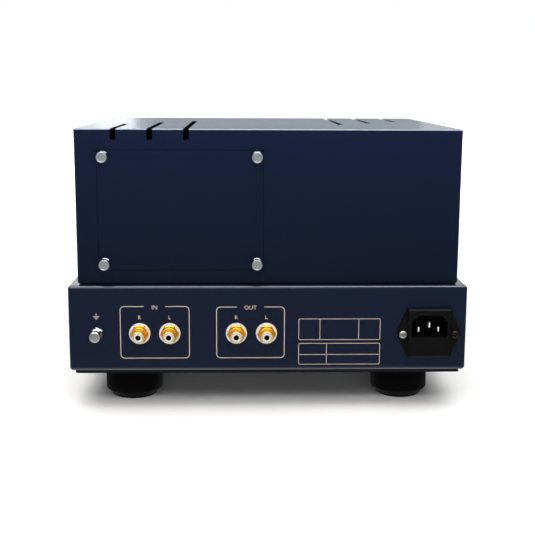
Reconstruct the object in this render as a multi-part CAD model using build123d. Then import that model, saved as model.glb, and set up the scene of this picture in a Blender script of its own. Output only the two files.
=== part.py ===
from build123d import *
import os
from math import cos, pi, sin

# Tube phono preamplifier: a steel chassis with a folded rear cover, a tube bay
# under a lift-off cage, and an access hatch held by four thumb screws.
# Millimetres. The floor is z = 0, the front faces -Y, the connectors face +Y,
# and X is to the right for someone in front of it.

# Chassis: a welded steel tub, open underneath, with a lip for the bottom plate
CHASSIS_W = 280.0
CHASSIS_D = 358.0
CHASSIS_H = 61.0
REAR_Y = 188.5
SHEET = 2.0
EDGE_R = 2.5
LIP = 12.0
WIRE_WAY_R = 7.0
WIRE_WAYS = ((-8.0, 150.0), (-8.0, 10.0), (-122.0, 20.0))

# Bottom plate, with two rows of vent slots
PLATE_T = 2.5
PLATE_INSET = 3.3
VENT_STEP = 18.0
VENT_COUNT = 11
VENT_ROWS = (70.0, -50.0)
VENT_L = 60.0

# Feet: a drum with a broad chamfer above its toe, and a rubber pad let into it
FOOT_H = 25.4
FOOT_R = 20.8
FOOT_TOE_R = 16.7
FOOT_TOE_H = 1.7
FOOT_CHAMFER = 4.1
FOOT_IN = 39.5
FOOT_X = 98.7
PAD_R = 15.8
PAD_T = 2.5
PAD_SEAT = 1.7

# Hidden machine screws, all of one thread
BOLT_R = 1.5
BOLT_HEAD_R = 2.8
BOLT_HEAD_T = 2.0
BOTTOM_SCREW_IN = 7.0
BOTTOM_SCREW_Y = (170.0, 62.0, -46.0, -154.0)
COVER_SCREW_Y = (160.0, 69.0, -22.0)
PANEL_SCREW_X = 118.0
PANEL_SCREW_UP = (14.5, 46.5)

# Rear cover: folded sheet with slots that notch its back or its front edge
COVER_W = 267.2
COVER_D = 225.8
COVER_H = 108.2
COVER_IN = 6.45
COVER_T = 1.6
COVER_FOLD_R = 2.0
COVER_EDGE_R = 0.7
SLOT_W = 4.0
SLOT_DROP = 7.6
SLOT_X = (57.0, 82.0, 107.0)
SLOT_LENGTHS = (146.0, 116.0, 86.0)

# Access hatch in the cover's back, and the doubler behind it
HATCH_W = 115.0
HATCH_H = 84.0
HATCH_X = 61.1
HATCH_UP = 52.0
HATCH_SEAM = 0.3
HATCH_STEP = 0.1
HATCH_LAP = 9.0
HATCH_CORNER_R = 2.0
SCREW_PITCH_X = 105.9
SCREW_PITCH_Z = 74.3

# Thumb screws and ground cap, of one thread and one head
THREAD_R = 2.0
RUN_GAP = 0.06
HEAD_R = 3.85
HEAD_L = 7.4
HEAD_EDGE = 0.5
SEAT_COLLAR_EDGE = 0.3
SEAT_COLLAR_T = 1.1
GROOVE_R = 3.2
GROOVE_T = 0.9
SHANK_L = 8.0
WASHER_R = 3.6
WASHER_T = 0.5

# Front panel, knobs, selector switches and lamp
PANEL_T = 10.0
PANEL_EDGE_R = 3.0
DIAL_X = 72.0
DIAL_UP = 30.5
KNOB_R = 18.0
KNOB_L = 22.0
KNOB_GAP = 1.0
KNOB_EDGE = 1.2
KNOB_BORE = 16.0
POINTER_W = 1.6
POINTER_DEEP = 1.0
POINTER_START = 0.45
GAIN_REST = -45.0
LOAD_REST = -75.0
SHAFT_R = 3.0
COLLAR_R = 5.0
COLLAR_T = 3.0
COLLAR_GAP = 0.3
SHAFT_IN = 12.0
SWITCH_R = 13.0
SWITCH_L = 24.0
BUSH_R = 4.5
BUSH_L = 7.0
NUT_FLATS = 14.0
NUT_T = 2.4
POCKET_R = 9.0
POCKET_DEEP = 4.0
LAMP_R = 3.0
LAMP_BODY_R = 4.5
LAMP_BODY_L = 12.0

# Phono jacks, by their distance from the outer face of the rear wall
JACK_X = (90.3, 69.3, 22.6, 1.5)
JACK_UP = 27.2
JACK_TIP = 14.0
JACK_TAIL = 14.0
BARREL_R = 4.15
BORE_R = 2.6
SPIGOT_R = 5.5
SPIGOT_L = 1.8
DISC_R = 7.45
DISC_T = 1.6
INNER_DISC_T = 1.2
HEX_FLATS = 11.7
HEX_T = 2.4
HEX_NUT_T = 2.6
RING_T = 1.6
SHOULDER_R = 5.2
SHOULDER_T = 0.8
CORE_SHY = 0.3
PIN_HOLE_R = 1.65
PIN_HOLE_DEEP = 12.0
CONTACT_R = 1.0
CONTACT_OUT = 7.0

# Ground post
GROUND_X = 120.4
GROUND_FLATS = 8.4
GROUND_HEX_T = 3.0
GROUND_GAP = 1.0
GROUND_TAIL = 10.0
GROUND_NUT_FLATS = 8.0
GROUND_NUT_T = 3.0
CAP_ROOF = 1.2

# Mains inlet, with its plug recess above a fuse drawer
INLET_X = -113.0
INLET_UP = 27.5
INLET_W = 30.4
INLET_H = 31.0
INLET_DEEP = 26.0
FACE_HALF = 15.2
FACE_HALF_H = 17.3
FACE_T = 4.4
FACE_CHAMFER = 0.8
EAR_HALF = 22.6
EAR_T = 2.4
EAR_R = 4.5
EAR_SCREW_X = 18.3
EAR_SCREW_Z = -1.1
RECESS_W = 25.2
RECESS_H = 15.9
RECESS_CHAMFER = 4.6
RECESS_DEEP = 17.0
RECESS_Z = 5.1
BLADE_W = 2.0
BLADE_H = 4.0
BLADE_PITCH = 14.0
BLADE_Z = 2.1
EARTH_UP = 3.7
EARTH_SHY = 1.5
BLADE_SHY = 4.5
BLADE_TAG = 6.0
DRAWER_W = 24.0
DRAWER_H = 8.4
DRAWER_Z = -9.4
DRAWER_L = 20.0
DRAWER_GAP = 0.1
DRAWER_FLOOR = 1.5
GRIP_W = 8.0
GRIP_DEEP = 2.0
FUSE_R = 2.6
FUSE_L = 20.0
FUSE_ROOM = 0.2

# Power rocker in the left side wall
ROCKER_Y = -120.0
ROCKER_UP = 30.5
ROCKER_L = 19.2
ROCKER_W = 13.0
RIM = 1.6
RIM_T = 1.8
RIM_CHAMFER = 0.8
HOUSING_DEEP = 18.0
WELL_DEEP = 9.0
PADDLE_L = 15.4
PADDLE_W = 9.6
PADDLE_ROOM = 0.6
PADDLE_SIDE_ROOM = 0.2
PADDLE_PIVOT = 2.2
PADDLE_TILT = 9.0
TRUNNION_R = 1.2
TRUNNION_HALF = 6.3

# Tubes and their sockets
TUBE_Y = -105.0
RECTIFIER_X = 88.0
DRIVER_X = 30.0
PHONO_X = (32.0, 92.0)
PHONO_Y = 142.0
FLANGE_T = 1.6
PIN_ROOM = 0.3
OCTAL_R = 15.0
OCTAL_UP = 5.0
OCTAL_DOWN = 12.0
OCTAL_FLANGE_R = 19.0
OCTAL_CIRCLE_R = 8.7
OCTAL_PIN_R = 1.2
OCTAL_PIN_L = 9.0
KEY_R = 4.0
KEY_L = 11.0
NOVAL_R = 9.5
NOVAL_UP = 3.0
NOVAL_DOWN = 13.0
NOVAL_FLANGE_R = 13.0
NOVAL_CIRCLE_R = 5.95
NOVAL_PIN_R = 0.6
NOVAL_PIN_L = 6.5
BASE_R = 16.5
BASE_H = 14.0
BASE_CHAMFER = 1.0
NECK_R = 14.0
NECK_H = 9.0
RECTIFIER_R = 19.5
RECTIFIER_H = 56.0
SIGNAL_R = 11.0
SIGNAL_NECK_H = 1.5
SIGNAL_H = 46.0
GLASS_T = 1.2
DOME = 0.6
TIP_R = 1.6
TIP_H = 3.0
MICA_T = 0.8
WIRE_FLATS = 1.0

# Cage over the tube bay
CAGE_H = 98.0
CAGE_T = 3.0
CAGE_GAP = 1.6
CAGE_FRONT_IN = 3.5
CAGE_CORNER_R = 40.0
CAGE_SLOTS = 6
CAGE_SLOT_STEP = 15.0
CAGE_SLOT_Z = (18.0, 64.0)
BAR_R = 2.5
BAR_IN = 5.5
BAR_LOW = 8.0
BAR_STEP = 12.6
CAGE_PIN_R = 1.4
CAGE_PIN_L = 6.0
CAGE_PIN_ROOM = 0.1
CAGE_PIN_IN = 16.0

# Mains transformer and smoothing choke
RING_X = -68.0
RING_Y = 92.0
RING_OUT_R = 58.0
RING_IN_R = 16.0
RING_H = 56.0
RING_EDGE = 10.0
RUBBER_T = 2.0
CLAMP_R = 34.0
CLAMP_T = 3.0
CLAMP_DISH = 3.0
CENTRE_BOLT_R = 4.0
CENTRE_FLATS = 13.0
CENTRE_HEAD_T = 5.0
CENTRE_TAIL = 12.0
CHOKE_X = -68.0
CHOKE_Y = -4.0
CHOKE_H = 45.0
LIMB = 9.0
STACK_HALF = 14.0
COIL_HALF = 22.0
COIL_ROOM = 0.3

# Circuit boards, as X and Y spans, and what carries them
BOARD_T = 1.6
SPACER_H = 16.0
SPACER_FLATS = 6.0
SPACER_IN = 6.0
POWER_BOARD = ((4.0, 124.0), (-34.0, 66.0))
PHONO_BOARD = ((6.0, 118.0), (112.0, 172.0))
LINE_BOARD = ((0.0, 118.0), (90.0, 158.0))
LINE_DROP = 14.0
CAPACITOR_R = 17.5
CAPACITOR_H = 50.0
CAPACITOR_IN = (38.0, 25.0)

# Faces and centres that follow from the sizes above
BACK = (0, 1, 0)
FRONT = (0, -1, 0)
UP = (0, 0, 1)
DOWN = (0, 0, -1)
PAST = 1.0
FRONT_Y = REAR_Y - CHASSIS_D
CHASSIS_Z = FOOT_H + PLATE_T
DECK_Z = CHASSIS_Z + CHASSIS_H
DIAL_Z = CHASSIS_Z + DIAL_UP
JACK_Z = CHASSIS_Z + JACK_UP
INLET_Z = CHASSIS_Z + INLET_UP
ROCKER_Z = CHASSIS_Z + ROCKER_UP
HATCH_Z = DECK_Z + HATCH_UP
SIDE_X = CHASSIS_W / 2
PANEL_Y = FRONT_Y - PANEL_T
KNOB_Y = PANEL_Y - KNOB_GAP
COVER_REAR = REAR_Y - COVER_IN
COVER_FRONT = COVER_REAR - COVER_D
COVER_TOP = DECK_Z + COVER_H
PANEL_SCREW_Z = [CHASSIS_Z + up for up in PANEL_SCREW_UP]
CAGE_REAR = COVER_FRONT - CAGE_GAP
CAGE_FRONT = FRONT_Y + CAGE_FRONT_IN
GROUND_SEAT = REAR_Y + GROUND_HEX_T + GROUND_GAP
INLET_FACE = REAR_Y + FACE_T
BOARD_TOP = DECK_Z + SPACER_H + BOARD_T
SIDES = (-1, 1)
FEET = [(side * FOOT_X, y) for y in (REAR_Y - FOOT_IN, FRONT_Y + FOOT_IN) for side in SIDES]
THUMB_SCREWS = [
    (HATCH_X + i * SCREW_PITCH_X / 2, HATCH_Z + k * SCREW_PITCH_Z / 2) for k in SIDES for i in SIDES
]


def block(xs, ys, zs):
    """A box between a low and a high value on each axis."""
    size = [high - low for low, high in (xs, ys, zs)]
    middle = [(low + high) / 2 for low, high in (xs, ys, zs)]
    return Pos(*middle) * Box(*size)


def about(middle, half):
    """The low and high values at one distance each side of the middle."""
    return (middle - half, middle + half)


def rod(at, along, radius, length):
    """A cylinder that starts at a point and runs along a direction."""
    bottom = (Align.CENTER, Align.CENTER, Align.MIN)
    return Plane(origin=at, z_dir=along) * Cylinder(radius, length, align=bottom)


def hole(at, along, radius, depth):
    """A cutter for a round hole, a little longer than its depth at both ends."""
    start = [a - PAST * d for a, d in zip(at, along)]
    return rod(start, along, radius, depth + 2 * PAST)


def turned(at, along, outline):
    """Revolve a closed outline of (radius, distance) points about an axis."""
    face = make_face(Polyline([(r, 0, d) for r, d in outline], close=True))
    return Plane(origin=at, z_dir=along) * revolve(face, Axis.Z)


def hexagon(at, along, flats, length, turn=0.0):
    """A hexagonal bar, sized across its flats."""
    bar = extrude(RegularPolygon(flats / 2, 6, major_radius=False), length)
    return Plane(origin=at, z_dir=along) * Rot(0, 0, turn) * bar


def nut(at, along, flats, thick, bore_r):
    """A hexagonal nut."""
    return hexagon(at, along, flats, thick) - hole(at, along, bore_r, thick)


def screw(at, into, length):
    """A plain screw: its head stands on a face, and its shank runs into it."""
    outline = [
        (0, -BOLT_HEAD_T),
        (BOLT_HEAD_R, -BOLT_HEAD_T),
        (BOLT_HEAD_R, 0),
        (BOLT_R, 0),
        (BOLT_R, length),
        (0, length),
    ]
    return turned(at, into, outline)


def save(name, *pieces):
    """Write the solids of one named piece, or of one group of like pieces."""
    solids = [solid for piece in pieces for solid in piece.solids()]
    export_step(Compound(solids), f"parts/{name}.step")


# ---- chassis, feet and front panel --------------------------------------------


def bottom_screw_spots():
    """Where the bottom plate is screwed to the chassis lip."""
    x = SIDE_X - BOTTOM_SCREW_IN
    return [(side * x, y) for y in BOTTOM_SCREW_Y for side in SIDES]


def cover_screw_spots():
    """Where the rear cover's lip is screwed down, from under the deck."""
    x = COVER_W / 2 - LIP / 2
    return [(side * x, y) for y in COVER_SCREW_Y for side in SIDES]


def panel_screw_spots():
    """Where the front panel is screwed on, from inside the chassis."""
    return [(side * PANEL_SCREW_X, z) for z in PANEL_SCREW_Z for side in SIDES]


def rear_wall_cutters():
    """Holes for the jacks, the ground post and the mains inlet."""
    inner = REAR_Y - SHEET
    cutters = [hole((x, inner, JACK_Z), BACK, SPIGOT_R, SHEET) for x in JACK_X]
    cutters.append(hole((GROUND_X, inner, JACK_Z), BACK, THREAD_R, SHEET))
    cutters.append(inlet_block(inner - PAST, REAR_Y + PAST))
    for side in SIDES:
        x, z = ear_screw_spot(side)
        cutters.append(hole((x, inner, z), BACK, BOLT_R, SHEET))
    return cutters


def front_wall_cutters():
    """Holes for the selector bushes, the lamp and the panel screws."""
    cutters = [hole((side * DIAL_X, FRONT_Y, DIAL_Z), BACK, BUSH_R, SHEET) for side in SIDES]
    cutters.append(hole((0, FRONT_Y, DIAL_Z), BACK, LAMP_R, SHEET))
    cutters += [hole((x, FRONT_Y, z), BACK, BOLT_R, SHEET) for x, z in panel_screw_spots()]
    return cutters


def deck_cutters():
    """Holes for the sockets, the cage pins, the transformer, the wiring and the cover screws."""
    low = DECK_Z - SHEET
    spots = [(side * RECTIFIER_X, TUBE_Y, OCTAL_R) for side in SIDES]
    spots += [(side * DRIVER_X, TUBE_Y, NOVAL_R) for side in SIDES]
    spots += [(x, y, CAGE_PIN_R + CAGE_PIN_ROOM) for x, y in cage_pin_spots()]
    spots += [(x, y, WIRE_WAY_R) for x, y in WIRE_WAYS]
    spots += [(x, y, BOLT_R) for x, y in cover_screw_spots()]
    spots.append((RING_X, RING_Y, CENTRE_BOLT_R))
    return [hole((x, y, low), UP, radius, SHEET) for x, y, radius in spots]


def chassis_tub():
    """The tub: a deck, four walls and a lip round the open underside, pierced for its parts."""
    tub = block(about(0, SIDE_X), (FRONT_Y, REAR_Y), (CHASSIS_Z, DECK_Z))
    tub = fillet(tub.edges(), EDGE_R)
    tub -= block(
        about(0, SIDE_X - SHEET),
        (FRONT_Y + SHEET, REAR_Y - SHEET),
        (CHASSIS_Z + SHEET, DECK_Z - SHEET),
    )
    mouth = (CHASSIS_Z - PAST, CHASSIS_Z + SHEET + PAST)
    tub -= block(about(0, SIDE_X - LIP), (FRONT_Y + LIP, REAR_Y - LIP), mouth)
    lip_holes = [hole((x, y, CHASSIS_Z), UP, BOLT_R, SHEET) for x, y in bottom_screw_spots()]
    window = rocker_window(-SIDE_X - PAST, -SIDE_X + SHEET + PAST)
    for cutter in [*rear_wall_cutters(), *front_wall_cutters(), *deck_cutters(), *lip_holes, window]:
        tub -= cutter
    return tub


def bottom_plate():
    """The plate under the chassis, with two rows of vent slots."""
    ys = (FRONT_Y + PLATE_INSET, REAR_Y - PLATE_INSET)
    plate = block(about(0, SIDE_X - PLATE_INSET), ys, (FOOT_H, CHASSIS_Z))
    plate = fillet(plate.edges().filter_by(Axis.Z), EDGE_R)
    through = (FOOT_H - PAST, CHASSIS_Z + PAST)
    middle = (VENT_COUNT - 1) / 2
    for i in range(VENT_COUNT):
        for y in VENT_ROWS:
            plate -= block(about((i - middle) * VENT_STEP, SLOT_W / 2), about(y, VENT_L / 2), through)
    for x, y in bottom_screw_spots() + FEET:
        plate -= hole((x, y, FOOT_H), UP, BOLT_R, PLATE_T)
    return plate


def foot_body(x, y):
    """A turned foot, with a seat for its pad and a blind hole for its screw."""
    toe = PAD_T - PAD_SEAT
    outline = [
        (0, FOOT_H),
        (FOOT_R, FOOT_H),
        (FOOT_R, FOOT_TOE_H + FOOT_CHAMFER),
        (FOOT_TOE_R, FOOT_TOE_H),
        (FOOT_TOE_R, toe),
        (PAD_R, toe),
        (PAD_R, PAD_T),
        (0, PAD_T),
    ]
    return turned((x, y, 0), UP, outline) - rod((x, y, FOOT_H), DOWN, BOLT_R, 4 * PLATE_T)


def front_panel():
    """The thick front plate, bored for the bushes and lamp and tapped from behind."""
    panel = block(about(0, SIDE_X), (PANEL_Y, FRONT_Y), (CHASSIS_Z, DECK_Z))
    panel = fillet(panel.edges().filter_by(Axis.Y), EDGE_R)
    panel = fillet(panel.faces().sort_by(Axis.Y)[0].edges(), PANEL_EDGE_R)
    for side in SIDES:
        panel -= hole((side * DIAL_X, PANEL_Y, DIAL_Z), BACK, BUSH_R, PANEL_T)
        panel -= rod((side * DIAL_X, FRONT_Y, DIAL_Z), FRONT, POCKET_R, POCKET_DEEP)
    panel -= hole((0, PANEL_Y, DIAL_Z), BACK, LAMP_R, PANEL_T)
    for x, z in panel_screw_spots():
        panel -= rod((x, FRONT_Y, z), FRONT, BOLT_R, 3 * SHEET)
    return panel


def case_screws():
    """The screws that hold the rear cover and the front panel, all hidden inside."""
    up = [screw((x, y, DECK_Z - SHEET), UP, 2 * SHEET) for x, y in cover_screw_spots()]
    out = [screw((x, FRONT_Y + SHEET, z), FRONT, 4 * SHEET) for x, z in panel_screw_spots()]
    return up + out


# ---- rear cover and hatch -----------------------------------------------------


def rear_cover():
    """The folded cover: five walls, an inward lip, six vent slots and the hatch opening."""
    half = COVER_W / 2
    cover = block(about(0, half), (COVER_FRONT, COVER_REAR), (DECK_Z, COVER_TOP))
    cover = fillet(cover.edges().filter_by(Axis.Z), COVER_EDGE_R)
    cover = fillet(cover.faces().sort_by(Axis.Z)[0].edges(), COVER_FOLD_R)
    cover = fillet(cover.faces().sort_by(Axis.Z)[-1].edges(), COVER_EDGE_R)
    cover -= block(
        about(0, half - COVER_T),
        (COVER_FRONT + COVER_T, COVER_REAR - COVER_T),
        (DECK_Z + COVER_T, COVER_TOP - COVER_T),
    )
    mouth = (DECK_Z - PAST, DECK_Z + COVER_T + PAST)
    cover -= block(about(0, half - LIP), (COVER_FRONT + LIP, COVER_REAR - LIP), mouth)
    drop = (COVER_TOP - SLOT_DROP, COVER_TOP + PAST)
    for x, length in zip(SLOT_X, SLOT_LENGTHS):
        cover -= block(about(x, SLOT_W / 2), (COVER_REAR - length, COVER_REAR + PAST), drop)
        cover -= block(about(-x, SLOT_W / 2), (COVER_FRONT - PAST, COVER_FRONT + length), drop)
    wall = (COVER_REAR - COVER_T - PAST, COVER_REAR + PAST)
    cover -= block(about(HATCH_X, HATCH_W / 2), wall, about(HATCH_Z, HATCH_H / 2))
    for x, y in cover_screw_spots():
        cover -= hole((x, y, DECK_Z), UP, BOLT_R, COVER_T)
    return cover


def hatch_frame():
    """The doubler welded behind the opening: the hatch lies on it and is screwed to it."""
    back = COVER_REAR - 2 * COVER_T
    out, lap = HATCH_LAP / 2, HATCH_LAP
    frame = block(
        about(HATCH_X, HATCH_W / 2 + out), (back, back + COVER_T), about(HATCH_Z, HATCH_H / 2 + out)
    )
    frame -= block(
        about(HATCH_X, HATCH_W / 2 - lap),
        (back - PAST, back + COVER_T + PAST),
        about(HATCH_Z, HATCH_H / 2 - lap),
    )
    for x, z in THUMB_SCREWS:
        frame -= hole((x, back, z), BACK, THREAD_R + RUN_GAP, COVER_T)
    return frame


def access_hatch():
    """The flat plate that fills the opening, flush with the cover's back."""
    inner = COVER_REAR - COVER_T + HATCH_STEP
    plate = block(
        about(HATCH_X, HATCH_W / 2 - HATCH_SEAM),
        (inner, COVER_REAR),
        about(HATCH_Z, HATCH_H / 2 - HATCH_SEAM),
    )
    plate = fillet(plate.edges().filter_by(Axis.Y), HATCH_CORNER_R)
    for x, z in THUMB_SCREWS:
        plate -= hole((x, inner, z), BACK, THREAD_R + RUN_GAP, COVER_T)
    return plate


def flat_washer(x, y, z):
    """The washer behind a thumb screw or the ground cap, which travels with it."""
    return rod((x, y, z), BACK, WASHER_R, WASHER_T) - hole((x, y, z), BACK, THREAD_R + RUN_GAP, WASHER_T)


def drum_head():
    """The outside of a turned head: a thin collar at its seat, a groove, then the drum."""
    return [
        (HEAD_R - SEAT_COLLAR_EDGE, 0),
        (HEAD_R, SEAT_COLLAR_EDGE),
        (HEAD_R, SEAT_COLLAR_T),
        (GROOVE_R, SEAT_COLLAR_T),
        (GROOVE_R, SEAT_COLLAR_T + GROOVE_T),
        (HEAD_R, SEAT_COLLAR_T + GROOVE_T),
        (HEAD_R, HEAD_L - HEAD_EDGE),
        (HEAD_R - HEAD_EDGE, HEAD_L),
        (0, HEAD_L),
    ]


def thumb_screw(x, z):
    """A drum-headed thumb screw: its shank passes the hatch and the doubler."""
    shank = [(0, -SHANK_L), (THREAD_R, -SHANK_L), (THREAD_R, 0)]
    return turned((x, COVER_REAR + WASHER_T, z), BACK, shank + drum_head())


# ---- rear connectors ----------------------------------------------------------


def jack_shell(x):
    """The shell: a hexagon, a groove and a shoulder, the barrel in front, a threaded tail behind."""
    shell = hexagon((x, REAR_Y + DISC_T, JACK_Z), BACK, HEX_FLATS, HEX_T, 30)
    shell += rod((x, REAR_Y + DISC_T + HEX_T + RING_T, JACK_Z), BACK, SHOULDER_R, SHOULDER_T)
    tail = (x, REAR_Y - JACK_TAIL, JACK_Z)
    shell += rod(tail, BACK, BARREL_R, JACK_TAIL + JACK_TIP)
    return shell - hole(tail, BACK, BORE_R, JACK_TAIL + JACK_TIP)


def jack_discs(x):
    """The shouldered insulating disc outside the wall, and the flat one inside."""
    outline = [
        (BARREL_R, -SPIGOT_L),
        (SPIGOT_R, -SPIGOT_L),
        (SPIGOT_R, 0),
        (DISC_R, 0),
        (DISC_R, DISC_T),
        (BARREL_R, DISC_T),
    ]
    outer = turned((x, REAR_Y, JACK_Z), BACK, outline)
    behind = (x, REAR_Y - SHEET, JACK_Z)
    flat = rod(behind, FRONT, DISC_R, INNER_DISC_T) - hole(behind, FRONT, BARREL_R, INNER_DISC_T)
    return [outer, flat]


def rear_nuts():
    """The nuts inside the rear wall: one for each jack and one for the ground post."""
    seat = REAR_Y - SHEET
    nuts = [
        nut((x, seat - INNER_DISC_T, JACK_Z), FRONT, HEX_FLATS, HEX_NUT_T, BARREL_R) for x in JACK_X
    ]
    nuts.append(nut((GROUND_X, seat, JACK_Z), FRONT, GROUND_NUT_FLATS, GROUND_NUT_T, THREAD_R))
    return nuts


def jack_ring(x):
    """The colour ring snapped in the groove between the hexagon and the shoulder."""
    seat = (x, REAR_Y + DISC_T + HEX_T, JACK_Z)
    return rod(seat, BACK, SHOULDER_R, RING_T) - hole(seat, BACK, BARREL_R, RING_T)


def jack_insulator(x):
    """The white core that fills the shell, with the hole for the plug's pin."""
    floor = JACK_TIP - PIN_HOLE_DEEP
    outline = [
        (CONTACT_R, -JACK_TAIL - DISC_T),
        (BORE_R, -JACK_TAIL - DISC_T),
        (BORE_R, JACK_TIP - CORE_SHY),
        (PIN_HOLE_R, JACK_TIP - CORE_SHY),
        (PIN_HOLE_R, floor),
        (CONTACT_R, floor),
    ]
    return turned((x, REAR_Y, JACK_Z), BACK, outline)


def jack_contact(x):
    """The centre contact, with its solder tail behind the insulator."""
    tail = JACK_TAIL + CONTACT_OUT
    return rod((x, REAR_Y - tail, JACK_Z), BACK, CONTACT_R, tail + JACK_TIP - PIN_HOLE_DEEP)


def ground_stud():
    """The ground post: a hexagonal base on the wall and a stud through it."""
    stud = hexagon((GROUND_X, REAR_Y, JACK_Z), BACK, GROUND_FLATS, GROUND_HEX_T)
    tip = GROUND_SEAT + WASHER_T + HEAD_L - CAP_ROOF - GROUND_GAP
    start = REAR_Y - GROUND_TAIL
    return stud + rod((GROUND_X, start, JACK_Z), BACK, THREAD_R, tip - start)


def ground_cap():
    """The drum-headed cap, with a blind bore for the stud."""
    bore = THREAD_R + RUN_GAP
    inside = [(0, HEAD_L - CAP_ROOF), (bore, HEAD_L - CAP_ROOF), (bore, 0)]
    return turned((GROUND_X, GROUND_SEAT + WASHER_T, JACK_Z), BACK, drum_head() + inside)


def inlet_block(low, high):
    """The part of the inlet that passes through the wall."""
    return block(about(INLET_X, INLET_W / 2), (low, high), about(INLET_Z, INLET_H / 2))


def inlet_blades():
    """The three contact blades, which run through the moulding to their tags behind it."""
    tag = REAR_Y - INLET_DEEP - BLADE_TAG
    spots = [(-BLADE_PITCH / 2, 0, BLADE_SHY), (BLADE_PITCH / 2, 0, BLADE_SHY), (0, EARTH_UP, EARTH_SHY)]
    return [
        block(
            about(INLET_X + x, BLADE_W / 2),
            (tag, INLET_FACE - shy),
            about(INLET_Z + BLADE_Z + z, BLADE_H / 2),
        )
        for x, z, shy in spots
    ]


def inlet_flange():
    """The six-sided flange with rounded ears, and the raised face across its middle."""
    ear = Polygon(
        (EAR_HALF, 0),
        (FACE_HALF, FACE_HALF_H),
        (-FACE_HALF, FACE_HALF_H),
        (-EAR_HALF, 0),
        (-FACE_HALF, -FACE_HALF_H),
        (FACE_HALF, -FACE_HALF_H),
        align=None,
    )
    ear = fillet([ear.vertices().sort_by(Axis.X)[0], ear.vertices().sort_by(Axis.X)[-1]], EAR_R)
    bottom = (Align.CENTER, Align.CENTER, Align.MIN)
    face = Box(2 * FACE_HALF, 2 * FACE_HALF_H, FACE_T, align=bottom)
    face = chamfer(face.faces().sort_by(Axis.Z)[-1].edges(), FACE_CHAMFER)
    return extrude(ear, EAR_T) + face


def inlet_body():
    """The moulded mains inlet, with its plug recess, drawer well, screw holes and blade slots."""
    wall = Plane(origin=(INLET_X, REAR_Y, INLET_Z), x_dir=(-1, 0, 0), z_dir=BACK)
    body = wall * inlet_flange() + inlet_block(REAR_Y - INLET_DEEP, REAR_Y)
    mouth = Rectangle(RECESS_W, RECESS_H)
    mouth = chamfer(mouth.vertices().group_by(Axis.Y)[-1], RECESS_CHAMFER)
    body -= wall * Pos(0, RECESS_Z, FACE_T - RECESS_DEEP) * extrude(mouth, RECESS_DEEP + PAST)
    body -= block(
        about(INLET_X, DRAWER_W / 2 + DRAWER_GAP),
        (INLET_FACE - DRAWER_L - DRAWER_GAP, INLET_FACE + PAST),
        about(INLET_Z + DRAWER_Z, DRAWER_H / 2 + DRAWER_GAP),
    )
    body -= drawer_lip(DRAWER_GAP, PAST)
    for side in SIDES:
        x, z = ear_screw_spot(side)
        body -= hole((x, REAR_Y, z), BACK, BOLT_R, EAR_T)
    for blade in inlet_blades():
        body -= blade
    return body


def ear_screw_spot(side):
    """The X and Z of the screw in one ear of the inlet."""
    return INLET_X + side * EAR_SCREW_X, INLET_Z + EAR_SCREW_Z


def inlet_screw(side):
    """A screw in one ear of the inlet, through the wall."""
    x, z = ear_screw_spot(side)
    return screw((x, REAR_Y + EAR_T, z), FRONT, 3 * EAR_T)


def drawer_lip(gap, past):
    """The lip that a fingernail catches, in a notch of the web under the plug recess."""
    top = INLET_Z + DRAWER_Z + DRAWER_H / 2
    recess = INLET_Z + RECESS_Z - RECESS_H / 2
    return block(
        about(INLET_X, GRIP_W / 2 + gap),
        (INLET_FACE - GRIP_DEEP - gap, INLET_FACE + past),
        (top, recess + past),
    )


def fuse_drawer():
    """The pull-out drawer: a plain front with a lip on top and a trough for the fuse."""
    low, high = about(INLET_Z + DRAWER_Z, DRAWER_H / 2)
    drawer = block(about(INLET_X, DRAWER_W / 2), (INLET_FACE - DRAWER_L, INLET_FACE), (low, high))
    drawer -= block(
        about(INLET_X, FUSE_L / 2 + FUSE_ROOM),
        about(INLET_FACE - DRAWER_L / 2, FUSE_R + FUSE_ROOM),
        (low + DRAWER_FLOOR, high + PAST),
    )
    return drawer + drawer_lip(0, 0)


def fuse():
    """The glass mains fuse, across the drawer."""
    at = (INLET_X - FUSE_L / 2, INLET_FACE - DRAWER_L / 2, INLET_Z + DRAWER_Z)
    return rod(at, (1, 0, 0), FUSE_R, FUSE_L)


# ---- power rocker -------------------------------------------------------------


def rocker_window(low, high):
    """The window in the side wall, and the part of the switch that fills it."""
    return block((low, high), about(ROCKER_Y, ROCKER_L / 2), about(ROCKER_Z, ROCKER_W / 2))


def trunnions(radius, half):
    """The round pivot through the paddle and the housing's walls."""
    at = (PADDLE_PIVOT - SIDE_X, ROCKER_Y, ROCKER_Z - half)
    return rod(at, UP, radius, 2 * half)


def switch_housing():
    """The snap-in housing: a rim outside the wall and an open well behind it."""
    rim = block(
        (-SIDE_X - RIM_T, -SIDE_X),
        about(ROCKER_Y, ROCKER_L / 2 + RIM),
        about(ROCKER_Z, ROCKER_W / 2 + RIM),
    )
    rim = chamfer(rim.faces().sort_by(Axis.X)[0].edges(), RIM_CHAMFER)
    well = block(
        (-SIDE_X - RIM_T - PAST, -SIDE_X + WELL_DEEP),
        about(ROCKER_Y, PADDLE_L / 2 + PADDLE_ROOM),
        about(ROCKER_Z, PADDLE_W / 2 + PADDLE_SIDE_ROOM),
    )
    housing = rim + rocker_window(-SIDE_X, -SIDE_X + HOUSING_DEEP) - well
    return housing - trunnions(TRUNNION_R + RUN_GAP, ROCKER_W / 2 + PAST)


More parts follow.
